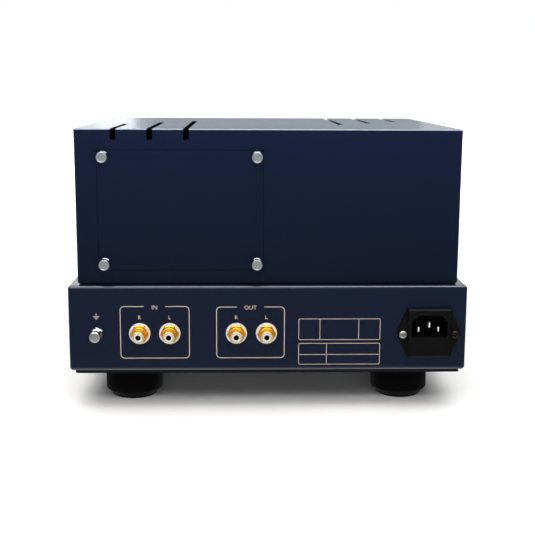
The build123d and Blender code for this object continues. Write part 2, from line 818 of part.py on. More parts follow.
def switch_rocker():
    """The paddle: two shallow flats that meet over the pivot, tipped to its off position."""
    half = PADDLE_L / 2
    outline = Polyline(
        (-half, -1.2),
        (0, -0.2),
        (half, -1.2),
        (half - 1.2, 4.0),
        (2.0, 6.4),
        (-2.0, 6.4),
        (1.2 - half, 4.0),
        close=True,
    )
    paddle = extrude(make_face(outline), PADDLE_W / 2, both=True)
    window = Plane(origin=(-SIDE_X, ROCKER_Y, ROCKER_Z), x_dir=BACK, z_dir=DOWN)
    pivot = Pos(0, PADDLE_PIVOT, 0)
    tipped = window * pivot * Rot(0, 0, PADDLE_TILT) * pivot.inverse() * paddle
    return tipped + trunnions(TRUNNION_R, TRUNNION_HALF)


# ---- front controls -----------------------------------------------------------


def knob(x, rest):
    """A turned knob with a milled pointer line and a blind bore."""
    outline = [
        (SHAFT_R, 0),
        (KNOB_R - KNOB_EDGE, 0),
        (KNOB_R, KNOB_EDGE),
        (KNOB_R, KNOB_L - KNOB_EDGE),
        (KNOB_R - KNOB_EDGE, KNOB_L),
        (0, KNOB_L),
        (0, KNOB_BORE),
        (SHAFT_R, KNOB_BORE),
    ]
    line = block(
        about(0, POINTER_W / 2),
        (-KNOB_L - PAST, POINTER_DEEP - KNOB_L),
        (KNOB_R * POINTER_START, KNOB_R + PAST),
    )
    return Pos(x, KNOB_Y, DIAL_Z) * Rot(0, rest, 0) * (turned((0, 0, 0), FRONT, outline) - line)


def knob_shaft(x):
    """The selector's spindle, from its collar inside the switch to the end of the knob's bore."""
    start = (x, FRONT_Y + SHEET + SHAFT_IN, DIAL_Z)
    length = SHAFT_IN + SHEET + PANEL_T + KNOB_GAP + KNOB_BORE
    return rod(start, FRONT, SHAFT_R, length) + rod(start, FRONT, COLLAR_R, COLLAR_T)


def selector_switch(x):
    """A rotary selector: a round body behind the wall and a threaded bush through it."""
    back = FRONT_Y + SHEET
    body = rod((x, back, DIAL_Z), BACK, SWITCH_R, SWITCH_L)
    body += rod((x, back, DIAL_Z), FRONT, BUSH_R, BUSH_L)
    collar = (x, back + SHAFT_IN + COLLAR_GAP, DIAL_Z)
    body -= rod(collar, FRONT, COLLAR_R + COLLAR_GAP, COLLAR_T + 2 * COLLAR_GAP)
    return body - rod((x, back + SHAFT_IN, DIAL_Z), FRONT, SHAFT_R + RUN_GAP, SHAFT_IN + BUSH_L + PAST)


def pilot_lamp():
    """The lamp: a domed lens just proud of the panel, and its body behind the wall."""
    outline = [
        (0, -LAMP_BODY_L),
        (LAMP_BODY_R, -LAMP_BODY_L),
        (LAMP_BODY_R, -SHEET),
        (LAMP_R, -SHEET),
        (LAMP_R, PANEL_T),
        (LAMP_R * 0.6, PANEL_T + 0.8),
        (0, PANEL_T + PAST),
    ]
    return turned((0, FRONT_Y, DIAL_Z), FRONT, outline)


# ---- tubes and cage -----------------------------------------------------------


def pin_ring(count, gaps, radius):
    """Pin centres on a circle divided in count + gaps steps."""
    step = 2 * pi / (count + gaps)
    return [(radius * sin(i * step), radius * cos(i * step)) for i in range(count)]


def tube_socket(at, body_r, up, down, flange_r, holes, hole_r):
    """A ceramic socket: a drum through its plate, a flange on top and a hole for each pin."""
    x, y, z = at
    socket = rod((x, y, z - down), UP, body_r, down + up) + rod(at, UP, flange_r, FLANGE_T)
    for i, j in holes:
        socket -= hexagon((x + i, y + j, z - down + FLANGE_T), UP, 2 * hole_r, down + up)
    return socket


def octal_socket(x):
    """The eight-pin socket of a rectifier, with its central keyhole."""
    holes = pin_ring(8, 0, OCTAL_CIRCLE_R)
    at = (x, TUBE_Y, DECK_Z)
    pin_r = OCTAL_PIN_R + PIN_ROOM
    socket = tube_socket(at, OCTAL_R, OCTAL_UP, OCTAL_DOWN, OCTAL_FLANGE_R, holes, pin_r)
    return socket - hole((x, TUBE_Y, DECK_Z - OCTAL_DOWN), UP, KEY_R + PIN_ROOM, OCTAL_DOWN + OCTAL_UP)


def noval_socket(x, y, z):
    """The nine-pin socket of a small tube."""
    holes = pin_ring(9, 1, NOVAL_CIRCLE_R)
    pin_r = NOVAL_PIN_R + PIN_ROOM
    return tube_socket((x, y, z), NOVAL_R, NOVAL_UP, NOVAL_DOWN, NOVAL_FLANGE_R, holes, pin_r)


def bulb(at, neck_r, neck_h, radius, height):
    """A hollow glass bulb: a neck, a straight wall and a dome drawn to a sealed tip."""
    dome = radius * DOME
    edge = height - dome - TIP_H
    outside = [
        Line((0, 0), (neck_r, 0)),
        Line((neck_r, 0), (radius, neck_h)),
        Line((radius, neck_h), (radius, edge)),
        ThreePointArc((radius, edge), (radius * 0.73, edge + dome * 0.7), (TIP_R, edge + dome)),
        Line((TIP_R, edge + dome), (0, height)),
        Line((0, height), (0, 0)),
    ]
    room = radius - GLASS_T
    inside = [
        (0, GLASS_T),
        (neck_r - GLASS_T, GLASS_T),
        (room, neck_h),
        (room, edge),
        (room * 0.7, edge + dome * 0.6),
        (0, edge + dome - GLASS_T),
    ]
    return Pos(*at) * revolve(Plane.XZ * make_face(outside), Axis.Z) - turned(at, UP, inside)


def electrodes(at, spread, plate_w, low, high, mica_r):
    """The electrodes: two plate boxes between mica discs, on stiff wires from the floor."""
    x, y, z = at
    stack = rod((x, y, z + low), UP, mica_r, MICA_T) + rod((x, y, z + high), UP, mica_r, MICA_T)
    for side in SIDES:
        plate_x = x + side * spread
        stack += block(about(plate_x, plate_w / 2), about(y, plate_w / 3), (z + low, z + high))
        stack += hexagon((plate_x, y, z + GLASS_T), UP, WIRE_FLATS, low)
    return stack


def rectifier_tube(x):
    """A rectifier tube: a moulded base with pins and key, the bulb, and the electrodes in it."""
    seat = (x, TUBE_Y, DECK_Z + OCTAL_UP)
    outline = [
        (0, 0),
        (BASE_R - BASE_CHAMFER, 0),
        (BASE_R, BASE_CHAMFER),
        (BASE_R, BASE_H),
        (0, BASE_H),
    ]
    base = turned(seat, UP, outline) + rod(seat, DOWN, KEY_R, KEY_L)
    for i, j in pin_ring(8, 0, OCTAL_CIRCLE_R):
        base += hexagon((x + i, TUBE_Y + j, seat[2]), DOWN, 2 * OCTAL_PIN_R, OCTAL_PIN_L)
    floor = (x, TUBE_Y, seat[2] + BASE_H)
    glass = bulb(floor, NECK_R, NECK_H, RECTIFIER_R, RECTIFIER_H)
    return base, glass, electrodes(floor, 6.5, 10.0, 9.0, 38.0, 14.0)


def signal_tube(x, y, z):
    """A small tube: a bulb with its pins sealed in the floor, and the electrodes in it."""
    seat = (x, y, z + NOVAL_UP)
    glass = bulb(seat, SIGNAL_R - 1, SIGNAL_NECK_H, SIGNAL_R, SIGNAL_H)
    for i, j in pin_ring(9, 1, NOVAL_CIRCLE_R):
        glass += hexagon((x + i, y + j, seat[2]), DOWN, 2 * NOVAL_PIN_R, NOVAL_PIN_L)
    return glass, electrodes(seat, 3.6, 6.0, 6.0, 30.0, 8.2)


def cage_pin_spots():
    """Where the cage's locating pins drop into the deck."""
    x = COVER_W / 2 - CAGE_T / 2
    return [(side * x, y) for side in SIDES for y in (CAGE_REAR - CAGE_PIN_IN, CAGE_FRONT + CAGE_PIN_IN)]


def cage_end(side):
    """An end plate of the cage: a rounded front shoulder, vent slots and locating pins."""
    low, high = DECK_Z, DECK_Z + CAGE_H
    xs = sorted((side * COVER_W / 2, side * (COVER_W / 2 - CAGE_T)))
    plate = block(xs, (CAGE_FRONT, CAGE_REAR), (low, high))
    shoulder = plate.edges().filter_by(Axis.X).group_by(Axis.Z)[-1].sort_by(Axis.Y)[0]
    plate = fillet(shoulder, CAGE_CORNER_R)
    through = (xs[0] - PAST, xs[1] + PAST)
    middle = (CAGE_FRONT + CAGE_REAR) / 2
    for i in range(CAGE_SLOTS):
        y = middle + (i - (CAGE_SLOTS - 1) / 2) * CAGE_SLOT_STEP
        plate -= block(through, about(y, SLOT_W / 2), [low + z for z in CAGE_SLOT_Z])
    for x, y in cage_pin_spots():
        if x * side > 0:
            plate += rod((x, y, low), DOWN, CAGE_PIN_R, CAGE_PIN_L)
    return plate


def cage_bars():
    """Round bars between the end plates, evenly spaced up the front and over the top."""
    front, rear = CAGE_FRONT + BAR_IN, CAGE_REAR - BAR_IN
    low, high = DECK_Z + BAR_LOW, DECK_Z + CAGE_H - BAR_IN
    path = FilletPolyline((front, low), (front, high), (rear, high), radius=CAGE_CORNER_R - BAR_IN)
    count = round(path.length / BAR_STEP)
    half = COVER_W / 2 - CAGE_T
    spots = [path @ (i / count) for i in range(count + 1)]
    return [rod((-half, spot.X, spot.Y), (1, 0, 0), BAR_R, 2 * half) for spot in spots]


# ---- transformer, choke and boards --------------------------------------------


def transformer_core():
    """The wound ring of the mains transformer, taped to soft corners."""
    near, far, edge = RING_IN_R, RING_OUT_R, RING_EDGE
    outline = [
        (near, edge),
        (near + edge, 0),
        (far - edge, 0),
        (far, edge),
        (far, RING_H - edge),
        (far - edge, RING_H),
        (near + edge, RING_H),
        (near, RING_H - edge),
    ]
    return turned((RING_X, RING_Y, DECK_Z + RUBBER_T), UP, outline)


def transformer_pads():
    """The rubber rings below and above the core."""
    low = (RING_X, RING_Y, DECK_Z)
    high = (RING_X, RING_Y, DECK_Z + RUBBER_T + RING_H)
    pads = [rod(low, UP, RING_OUT_R - RING_EDGE, RUBBER_T), rod(high, UP, CLAMP_R, RUBBER_T)]
    return [pad - hole(low, UP, RING_IN_R, 2 * RUBBER_T + RING_H) for pad in pads]


def transformer_clamp():
    """The dished steel disc over the core, with the bolt and nut that draw it down."""
    seat = (RING_X, RING_Y, DECK_Z + 2 * RUBBER_T + RING_H)
    dish = RING_IN_R - CLAMP_DISH
    outline = [
        (CENTRE_BOLT_R, -CLAMP_DISH),
        (dish, -CLAMP_DISH),
        (RING_IN_R, 0),
        (CLAMP_R, 0),
        (CLAMP_R, CLAMP_T),
        (RING_IN_R, CLAMP_T),
        (dish, 0),
        (CENTRE_BOLT_R, 0),
    ]
    bolt = hexagon(seat, UP, CENTRE_FLATS, CENTRE_HEAD_T)
    bolt += rod(seat, DOWN, CENTRE_BOLT_R, seat[2] - DECK_Z + CENTRE_TAIL)
    under = (RING_X, RING_Y, DECK_Z - SHEET)
    return turned(seat, UP, outline), bolt, nut(under, DOWN, CENTRE_FLATS, CENTRE_HEAD_T, CENTRE_BOLT_R)


def smoothing_choke():
    """The choke: a laminated core with two windows, and the coil on its middle limb."""
    zs = (DECK_Z, DECK_Z + CHOKE_H)
    window = (DECK_Z + LIMB, DECK_Z + CHOKE_H - LIMB)
    core = block(about(CHOKE_X, 3 * LIMB), about(CHOKE_Y, STACK_HALF), zs)
    for side in SIDES:
        core -= block(about(CHOKE_X + side * 1.5 * LIMB, LIMB / 2), about(CHOKE_Y, COIL_HALF), window)
    coil_z = (window[0] + COIL_ROOM, window[1] - COIL_ROOM)
    coil = block(about(CHOKE_X, 2 * LIMB - COIL_ROOM), about(CHOKE_Y, COIL_HALF), coil_z)
    return core, coil - block(about(CHOKE_X, LIMB), about(CHOKE_Y, STACK_HALF), zs)


def spacer_spots(board):
    """The four spacer centres of a board."""
    (x0, x1), (y0, y1) = board
    return [(x, y) for x in (x0 + SPACER_IN, x1 - SPACER_IN) for y in (y0 + SPACER_IN, y1 - SPACER_IN)]


def board_spacers():
    """Hexagonal spacers: up from the deck to two boards, and down from it to the third."""
    low = DECK_Z - SHEET
    above = [spot for board in (POWER_BOARD, PHONO_BOARD) for spot in spacer_spots(board)]
    spacers = [hexagon((x, y, DECK_Z), UP, SPACER_FLATS, SPACER_H) for x, y in above]
    return spacers + [
        hexagon((x, y, low), DOWN, SPACER_FLATS, LINE_DROP) for x, y in spacer_spots(LINE_BOARD)
    ]


def circuit_boards():
    """The supply board, the phono board pierced for its sockets, and the line board."""
    high = (BOARD_TOP - BOARD_T, BOARD_TOP)
    phono = block(*PHONO_BOARD, high)
    for x in PHONO_X:
        phono -= hole((x, PHONO_Y, high[0]), UP, NOVAL_R, BOARD_T)
    low = DECK_Z - SHEET - LINE_DROP
    return block(*POWER_BOARD, high), phono, block(*LINE_BOARD, (low - BOARD_T, low))


def filter_capacitors():
    """Four large cans in two rows on the supply board."""
    (x0, x1), (y0, y1) = POWER_BOARD
    in_x, in_y = CAPACITOR_IN
    spots = [(x, y) for x in (x0 + in_x, x1 - in_x) for y in (y0 + in_y, y1 - in_y)]
    return [rod((x, y, BOARD_TOP), UP, CAPACITOR_R, CAPACITOR_H) for x, y in spots]


os.makedirs("parts", exist_ok=True)

save("chassis_tub", chassis_tub())
save("bottom_plate", bottom_plate())
save("bottom_screws", *[screw((x, y, FOOT_H), UP, 2 * PLATE_T) for x, y in bottom_screw_spots()])
save("foot_bodies", *[foot_body(x, y) for x, y in FEET])
save("foot_pads", *[rod((x, y, 0), UP, PAD_R, PAD_T) for x, y in FEET])
save("foot_screws", *[screw((x, y, CHASSIS_Z), DOWN, 4 * PLATE_T) for x, y in FEET])
save("front_panel", front_panel())
save("case_screws", *case_screws())

save("rear_cover", rear_cover())
save("hatch_frame", hatch_frame())
save("access_hatch", access_hatch())
for number, (x, z) in enumerate(THUMB_SCREWS, 1):
    save(f"thumb_screw_{number}", thumb_screw(x, z))
    save(f"thumb_washer_{number}", flat_washer(x, COVER_REAR, z))

save("jack_shells", *[jack_shell(x) for x in JACK_X])
save("jack_discs", *[disc for x in JACK_X for disc in jack_discs(x)])
save("jack_rings_right", *[jack_ring(x) for x in JACK_X[0::2]])
save("jack_rings_left", *[jack_ring(x) for x in JACK_X[1::2]])
save("jack_insulators", *[jack_insulator(x) for x in JACK_X])
save("jack_contacts", *[jack_contact(x) for x in JACK_X])
save("rear_nuts", *rear_nuts())
save("ground_stud", ground_stud())
save("ground_washer", flat_washer(GROUND_X, GROUND_SEAT, JACK_Z))
save("ground_cap", ground_cap())
save("inlet_body", inlet_body())
save("inlet_blades", *inlet_blades())
save("inlet_screws", *[inlet_screw(side) for side in SIDES])
save("fuse_drawer", fuse_drawer())
save("fuse", fuse())
save("switch_housing", switch_housing())
save("switch_rocker", switch_rocker())

save("gain_knob", knob(-DIAL_X, GAIN_REST))
save("gain_shaft", knob_shaft(-DIAL_X))
save("load_knob", knob(DIAL_X, LOAD_REST))
save("load_shaft", knob_shaft(DIAL_X))
save("selector_switches", *[selector_switch(side * DIAL_X) for side in SIDES])
save(
    "selector_nuts",
    *[nut((side * DIAL_X, FRONT_Y, DIAL_Z), FRONT, NUT_FLATS, NUT_T, BUSH_R) for side in SIDES],
)
save("pilot_lamp", pilot_lamp())

drivers = [(side * DRIVER_X, TUBE_Y, DECK_Z) for side in SIDES]
phonos = [(x, PHONO_Y, BOARD_TOP) for x in PHONO_X]
save("octal_sockets", *[octal_socket(side * RECTIFIER_X) for side in SIDES])
save("noval_sockets", *[noval_socket(*spot) for spot in drivers + phonos])
save("rectifier_tube_left", *rectifier_tube(-RECTIFIER_X))
save("rectifier_tube_right", *rectifier_tube(RECTIFIER_X))
save("driver_tube_left", *signal_tube(*drivers[0]))
save("driver_tube_right", *signal_tube(*drivers[1]))
save("phono_tube_left", *signal_tube(*phonos[0]))
save("phono_tube_right", *signal_tube(*phonos[1]))
save("cage_ends", *[cage_end(side) for side in SIDES])
save("cage_bars", *cage_bars())

save("transformer_core", transformer_core())
save("transformer_pads", *transformer_pads())
save("transformer_clamp", *transformer_clamp())
save("smoothing_choke", *smoothing_choke())
save("board_spacers", *board_spacers())
save("circuit_boards", *circuit_boards())
save("filter_capacitors", *filter_capacitors())
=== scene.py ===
from math import cos, pi, radians, sin

import bpy
from mathutils import Matrix, Vector


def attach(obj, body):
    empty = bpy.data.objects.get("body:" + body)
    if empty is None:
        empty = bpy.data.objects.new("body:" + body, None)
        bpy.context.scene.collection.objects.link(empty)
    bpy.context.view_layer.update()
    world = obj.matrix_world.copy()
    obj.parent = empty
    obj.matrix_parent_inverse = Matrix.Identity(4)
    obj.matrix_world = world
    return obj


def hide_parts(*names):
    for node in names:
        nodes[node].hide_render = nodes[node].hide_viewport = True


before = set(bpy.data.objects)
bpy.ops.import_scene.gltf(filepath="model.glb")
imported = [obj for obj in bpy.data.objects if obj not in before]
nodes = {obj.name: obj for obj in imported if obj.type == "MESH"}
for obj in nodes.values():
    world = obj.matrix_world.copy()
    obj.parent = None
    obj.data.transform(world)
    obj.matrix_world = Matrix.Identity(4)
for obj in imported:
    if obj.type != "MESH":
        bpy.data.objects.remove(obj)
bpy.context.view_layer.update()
scene = bpy.context.scene


# The painted steelwork: the tub, the thick front panel, the folded rear cover and its hatch. It is a deep blue
# paint with a fine flake and a slight orange peel. A painted highlight runs along the cover's rear fold, and
# its slots' walls carry painted shade.
class Wire:
    """A socket in a material. Arithmetic on it adds Math nodes, and add() adds a node of any other kind."""

    def __init__(self, tree, socket=None):
        self.tree = tree
        self.socket = socket

    def add(self, kind, settings, inputs, output=0):
        node = self.tree.nodes.new("ShaderNode" + kind)
        for name, value in settings.items():
            if name == "stops":
                ramp = node.color_ramp.elements
                while len(ramp) < len(value):
                    ramp.new(1.0)
                for element, (spot, shade) in zip(ramp, value):
                    element.position = spot
                    element.color = (*shade, 1)
            else:
                setattr(node, name, value)
        for name, value in inputs.items():
            if isinstance(value, Wire):
                self.tree.links.new(value.socket, node.inputs[name])
            else:
                node.inputs[name].default_value = value
        return Wire(self.tree, node.outputs[output])

    def maths(self, operation, first, second=0.0):
        """A Math node on two values or Wires."""
        return self.add("Math", {"operation": operation}, {0: first, 1: second})

    def __add__(self, other):
        return self.maths("ADD", self, other)

    __radd__ = __add__

    def __sub__(self, other):
        return self.maths("SUBTRACT", self, other)

    def __rsub__(self, other):
        return self.maths("SUBTRACT", other, self)

    def __mul__(self, other):
        return self.maths("MULTIPLY", self, other)

    __rmul__ = __mul__

    def __pow__(self, other):
        return self.maths("POWER", self, other)

    def __gt__(self, other):
        return self.maths("GREATER_THAN", self, other)

    def __lt__(self, other):
        return self.maths("LESS_THAN", self, other)

    def __abs__(self):
        return self.maths("ABSOLUTE", self)

    def noise(self, scale, detail=2.0):
        """Soft noise from 0 to 1, with about scale lumps to the metre."""
        here = self.add("TexCoord", {}, {}, "Object")
        return self.add("TexNoise", {}, {"Vector": here, "Scale": scale, "Detail": detail})

    def axis(self, letter):
        """One coordinate of the object, in metres."""
        here = self.add("TexCoord", {}, {}, "Object")
        return self.add("SeparateXYZ", {}, {0: here}, letter)

    def blend(self, share, first, second):
        """A colour between two colours."""
        ends = {0: share, 6: first, 7: second}
        return self.add("Mix", {"data_type": "RGBA"}, ends, 2)

    def bump(self, height, strength, depth):
        """A surface normal from a height that runs from 0 to 1."""
        return self.add("Bump", {}, {"Height": height, "Strength": strength, "Distance": depth})


def new_finish(name, **look):
    """A material with a Principled shader. Returns it with a Wire on its tree and the shader's sockets."""
    material = bpy.data.materials.new(name)
    material.use_nodes = True
    sockets = material.node_tree.nodes["Principled BSDF"].inputs
    for socket, value in look.items():
        sockets[socket.replace("_", " ").replace("Ior", "IOR")].default_value = value
    return material, Wire(material.node_tree), sockets


def drive(wire, socket):
    """Let a value or colour feed one of the shader's sockets."""
    wire.tree.links.new(wire.socket, socket)


def paint(material, *names):
    """Give CAD nodes a finish."""
    for name in names:
        nodes[name].data.materials.clear()
        nodes[name].data.materials.append(material)


body_blue, wire, look = new_finish("body_blue", Specular_Ior_Level=0.45)
peel = wire.noise(900)
flake = wire.noise(4200, 1.0)
drift = wire.noise(7)
# The coats by height, where 1 is 200 mm: the tub's even up to the deck, then the cover's from its foot to its
# top, painted darker at the foot and lighter at the top: painted shade for light that falls off downward.
TUB_BLUE = (0.0023, 0.0060, 0.0198)
coats_and_painted_shade = wire.add("ValToRGB", {"stops": [(0.0, TUB_BLUE), (0.444, TUB_BLUE),
                                        (0.450, (0.0006, 0.0024, 0.0103)), (0.98, (0.0014, 0.0064, 0.0276))]},
                 {"Fac": wire.axis("Z") * 5.0})
# The cut walls of the vent slots, in the thickness of the cover's top, get painted shade, and the line of its
# rear fold a painted highlight.
SLOT_NEAREST = 0.057
SLOT_PITCH = 0.025
SLOT_HALF = 0.00203
SLOTS_SIDE, SLOTS_REAR = 0.12, 0.15
SHEET_MIDDLE, SHEET_HALF = 0.19625, 0.0008
FOLD_Y, FOLD_Z = 0.1806, 0.19635
from_middle = abs(wire.axis("X"))
lanes = wire.maths("FRACT", (from_middle - (SLOT_NEAREST - SLOT_PITCH / 2)) * (1 / SLOT_PITCH))
beside = abs(lanes - 0.5) < SLOT_HALF / SLOT_PITCH
in_sheet = abs(wire.axis("Z") - SHEET_MIDDLE) < SHEET_HALF
painted_slot_shade = beside * (from_middle < SLOTS_SIDE) * in_sheet * (wire.axis("Y") < SLOTS_REAR)
painted_fold_highlight = (wire.axis("Z") > FOLD_Z) * (wire.axis("Y") > FOLD_Y)
flaked = wire.blend(drift * 0.2 + flake * 0.3, coats_and_painted_shade, (0.0027, 0.0080, 0.0275, 1))
# The rear fold is blended to a pale blue-grey, a painted highlight, and the slot walls to near black, painted
# shade.
with_fold_highlight = wire.blend(painted_fold_highlight * 0.7, flaked, (0.28, 0.33, 0.42, 1))
drive(wire.blend(painted_slot_shade, with_fold_highlight, (0.0006, 0.0007, 0.0012, 1)), look["Base Color"])
drive(peel * 0.04 + drift * 0.04 + 0.2, look["Roughness"])
drive(wire.bump(peel, 0.10, 0.00006), look["Normal"])
paint(body_blue, "chassis_tub", "front_panel", "rear_cover", "access_hatch")

# The black steelwork: the vented bottom plate, the hatch doubler and the cage. It is powder coated, so it has a
# closer, drier grain than the body's paint.
coat_black, wire, look = new_finish("coat_black", Specular_Ior_Level=0.2)
grain = wire.noise(1500, 3.0)
drive(wire.blend(grain, (0.003, 0.003, 0.004, 1), (0.007, 0.007, 0.009, 1)), look["Base Color"])
drive(grain * 0.15 + 0.42, look["Roughness"])
drive(wire.bump(grain, 0.35, 0.00008), look["Normal"])
paint(coat_black, "bottom_plate", "hatch_frame", "cage_ends", "cage_bars")


# The printed legends on the rear panel: two rounded frames broken by their titles, the channel letters, an
# earth sign and two empty frames for ratings. They are silk-screened in a pale copper ink, a film's height.
MM = 0.001
REAR = 0.1885
INK = 0.04 * MM


def select_only(piece):
    """Make one object the selected and active one."""
    bpy.ops.object.select_all(action="DESELECT")
    piece.select_set(True)
    bpy.context.view_layer.objects.active = piece


def fit(piece, name, body, slot, material, *replaced):
    """Name a finished piece, dress it, and fix it to its body in the place of CAD nodes."""
    select_only(piece)
    bpy.ops.object.shade_smooth_by_angle(angle=radians(32))
    piece.name = name
    piece.data.materials.clear()
    piece.data.materials.append(material)
    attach(piece, body)
    if replaced:
        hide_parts(*replaced)


def place(piece, at, along=(0, 0, 1), turn=0.0):
    """Put a piece that was modelled along Z at a point, along a direction, and keep that in its mesh."""
    tilt = Vector(along).to_track_quat("Z", "Y").to_matrix().to_4x4()
    piece.matrix_world = Matrix.Translation(at) @ tilt @ Matrix.Rotation(turn, 4, "Z")
    select_only(piece)
    bpy.ops.object.transform_apply(location=True, rotation=True, scale=True)
    return piece


def join(pieces):
    """Make one object of several."""
    bpy.ops.object.select_all(action="DESELECT")
    for piece in pieces:
        piece.select_set(True)
    bpy.context.view_layer.objects.active = pieces[0]
    bpy.ops.object.join()
    return pieces[0]


def thicken(piece, height):
    """Give a flat piece the height of an ink film."""
    film = piece.modifiers.new("film", "SOLIDIFY")
    film.thickness = height
    film.offset = 1
    select_only(piece)
    bpy.ops.object.modifier_apply(modifier=film.name)
    return piece


def stroke_frame(width, height, line, corner, gap=0.0):
    """A rounded rectangular line, drawn flat, with a gap in the middle of its top."""
    bpy.ops.object.select_all(action="DESELECT")
    bpy.ops.mesh.primitive_plane_add(size=1)
    outline = bpy.context.object
    bpy.ops.transform.resize(value=(width, height, 1))
    bpy.ops.object.transform_apply(scale=True)
    bpy.ops.object.mode_set(mode="EDIT")
    bpy.ops.mesh.select_all(action="SELECT")
    bpy.ops.mesh.bevel(offset=corner, segments=6, affect="VERTICES")
    bpy.ops.mesh.select_all(action="SELECT")
    bpy.ops.mesh.inset(thickness=line)
    bpy.ops.mesh.delete(type="FACE")
    if gap:
        for edge in (-gap / 2, gap / 2):
            bpy.ops.mesh.select_all(action="SELECT")
            bpy.ops.mesh.bisect(plane_co=(edge, 0, 0), plane_no=(1, 0, 0))
        bpy.ops.object.mode_set(mode="OBJECT")
        for face in outline.data.polygons:
            x, y, _ = face.center
            face.select = abs(x) < gap / 2 and y > 0
        bpy.ops.object.mode_set(mode="EDIT")
        bpy.ops.mesh.delete(type="FACE")
    bpy.ops.object.mode_set(mode="OBJECT")
    return outline


def letters(words, height):
    """Plain capitals or figures, drawn flat and centred, with a set height."""
    bpy.ops.object.select_all(action="DESELECT")
    bpy.ops.object.text_add()
    line = bpy.context.object
    line.data.body = words
    line.data.align_x = "CENTER"
    line.data.align_y = "CENTER"
    line.data.resolution_u = 4
    bpy.ops.object.convert(target="MESH")
    line = bpy.context.object
    corners = [vertex.co for vertex in line.data.vertices]
    low = min(corner.y for corner in corners)
    high = max(corner.y for corner in corners)
    left = min(corner.x for corner in corners)
    right = max(corner.x for corner in corners)
    size = height / (high - low)
    centred = Matrix.Translation((-(left + right) / 2, -(low + high) / 2, 0))
    line.data.transform(Matrix.Scale(size, 4) @ centred)
    return line


copper_ink, wire, look = new_finish("copper_ink", Specular_Ior_Level=0.2)
film = wire.noise(2600, 2.0)
drive(wire.blend(film, (0.40, 0.31, 0.25, 1), (0.52, 0.41, 0.33, 1)), look["Base Color"])
drive(film * 0.1 + 0.5, look["Roughness"])


def on_rear(piece, x, z):
    """Lay a flat drawing on the rear panel, right way round for someone behind the object."""
    upright = Matrix.Rotation(pi, 4, "Z") @ Matrix.Rotation(pi / 2, 4, "X")
    piece.data.transform(Matrix.Translation((x * MM, REAR, z * MM)) @ upright)
    return thicken(piece, INK)


IN_X, OUT_X = 79.75, 12.7
RIGHT_XS, LEFT_XS = (90.3, 22.6), (69.3, 1.5)
RATING_X = -50.0
EARTH_X = 120.5
TITLE, LETTER = 2.9 * MM, 2.6 * MM
BOLD, FINE = 0.55 * MM, 0.4 * MM
legends = [
    on_rear(stroke_frame(48.7 * MM, 37.7 * MM, BOLD, 3.0 * MM, 15.2 * MM), IN_X, 55.75),
    on_rear(stroke_frame(48.2 * MM, 37.2 * MM, BOLD, 3.0 * MM, 19.0 * MM), OUT_X, 55.55),
    on_rear(letters("IN", TITLE), IN_X, 73.7),
    on_rear(letters("OUT", TITLE), OUT_X, 73.5),
    on_rear(stroke_frame(57.8 * MM, 15.4 * MM, FINE, 1.2 * MM), RATING_X, 57.7),
    on_rear(stroke_frame(57.8 * MM, 15.6 * MM, FINE, 1.2 * MM), RATING_X, 39.9),
]
for x in RIGHT_XS:
    legends.append(on_rear(letters("R", LETTER), x, 66.5))
for x in LEFT_XS:
    legends.append(on_rear(letters("L", LETTER), x, 66.5))


def bar(length, width):
    """A short straight line, drawn flat."""
    bpy.ops.object.select_all(action="DESELECT")
    bpy.ops.mesh.primitive_plane_add(size=1)
    line = bpy.context.object
    line.data.transform(Matrix.Diagonal((length, width, 1, 1)))
    return line


legends.append(on_rear(bar(FINE, 15.4 * MM), -36.2, 57.7))
legends.append(on_rear(bar(FINE, 15.4 * MM), -63.6, 57.7))
legends.append(on_rear(bar(FINE, 15.6 * MM), -41.0, 39.9))
legends.append(on_rear(bar(57.4 * MM, FINE), RATING_X, 39.4))
legends.append(on_rear(bar(0.45 * MM, 2.2 * MM), EARTH_X, 68.3))
for width, z in ((4.4, 67.2), (2.9, 66.3), (1.4, 65.4)):
    legends.append(on_rear(bar(width * MM, 0.45 * MM), EARTH_X, z))
fit(join(legends), "rear_legends", "chassis", None, copper_ink)


# The feet: four drums turned from black plastic, with a broken upper edge and a broad chamfer above the toe,
# and a ribbed rubber pad let into each one.
def turned(steps, sides=64, bored=False):
    """Turn a piece about Z: rings of (radius, height) in millimetres, with flat ends, or closed on itself."""
    bpy.ops.object.select_all(action="DESELECT")
    radius, height = steps[0]
    start = "NOTHING" if bored else "NGON"
    bpy.ops.mesh.primitive_circle_add(vertices=sides, radius=radius * MM, fill_type=start,
                                      location=(0, 0, height * MM))
    piece = bpy.context.object
    bpy.ops.object.transform_apply(location=True)
    bpy.ops.object.mode_set(mode="EDIT")
    bpy.ops.mesh.select_all(action="SELECT")
    for next_radius, next_height in steps[1:]:
        rise = (0, 0, (next_height - height) * MM)
        if bored:
            bpy.ops.mesh.extrude_edges_move(TRANSFORM_OT_translate={"value": rise})
        else:
            bpy.ops.mesh.extrude_region_move(TRANSFORM_OT_translate={"value": rise})
        size = next_radius / radius
        bpy.ops.transform.resize(value=(size, size, 1))
        radius, height = next_radius, next_height
    bpy.ops.mesh.select_all(action="SELECT")
    if bored:
        bpy.ops.mesh.remove_doubles(threshold=0.000001)
    bpy.ops.mesh.normals_make_consistent(inside=False)
    bpy.ops.object.mode_set(mode="OBJECT")
    return piece


def copies(piece, spots, along=(0, 0, 1)):
    """Set a copy of a piece on each point, with the piece itself on the first, and join them."""
    others = []
    for _ in spots[1:]:
        other = piece.copy()
        other.data = piece.data.copy()
        scene.collection.objects.link(other)
        others.append(other)
    return join([place(one, Vector(spot) * MM, along) for one, spot in zip([piece, *others], spots)])


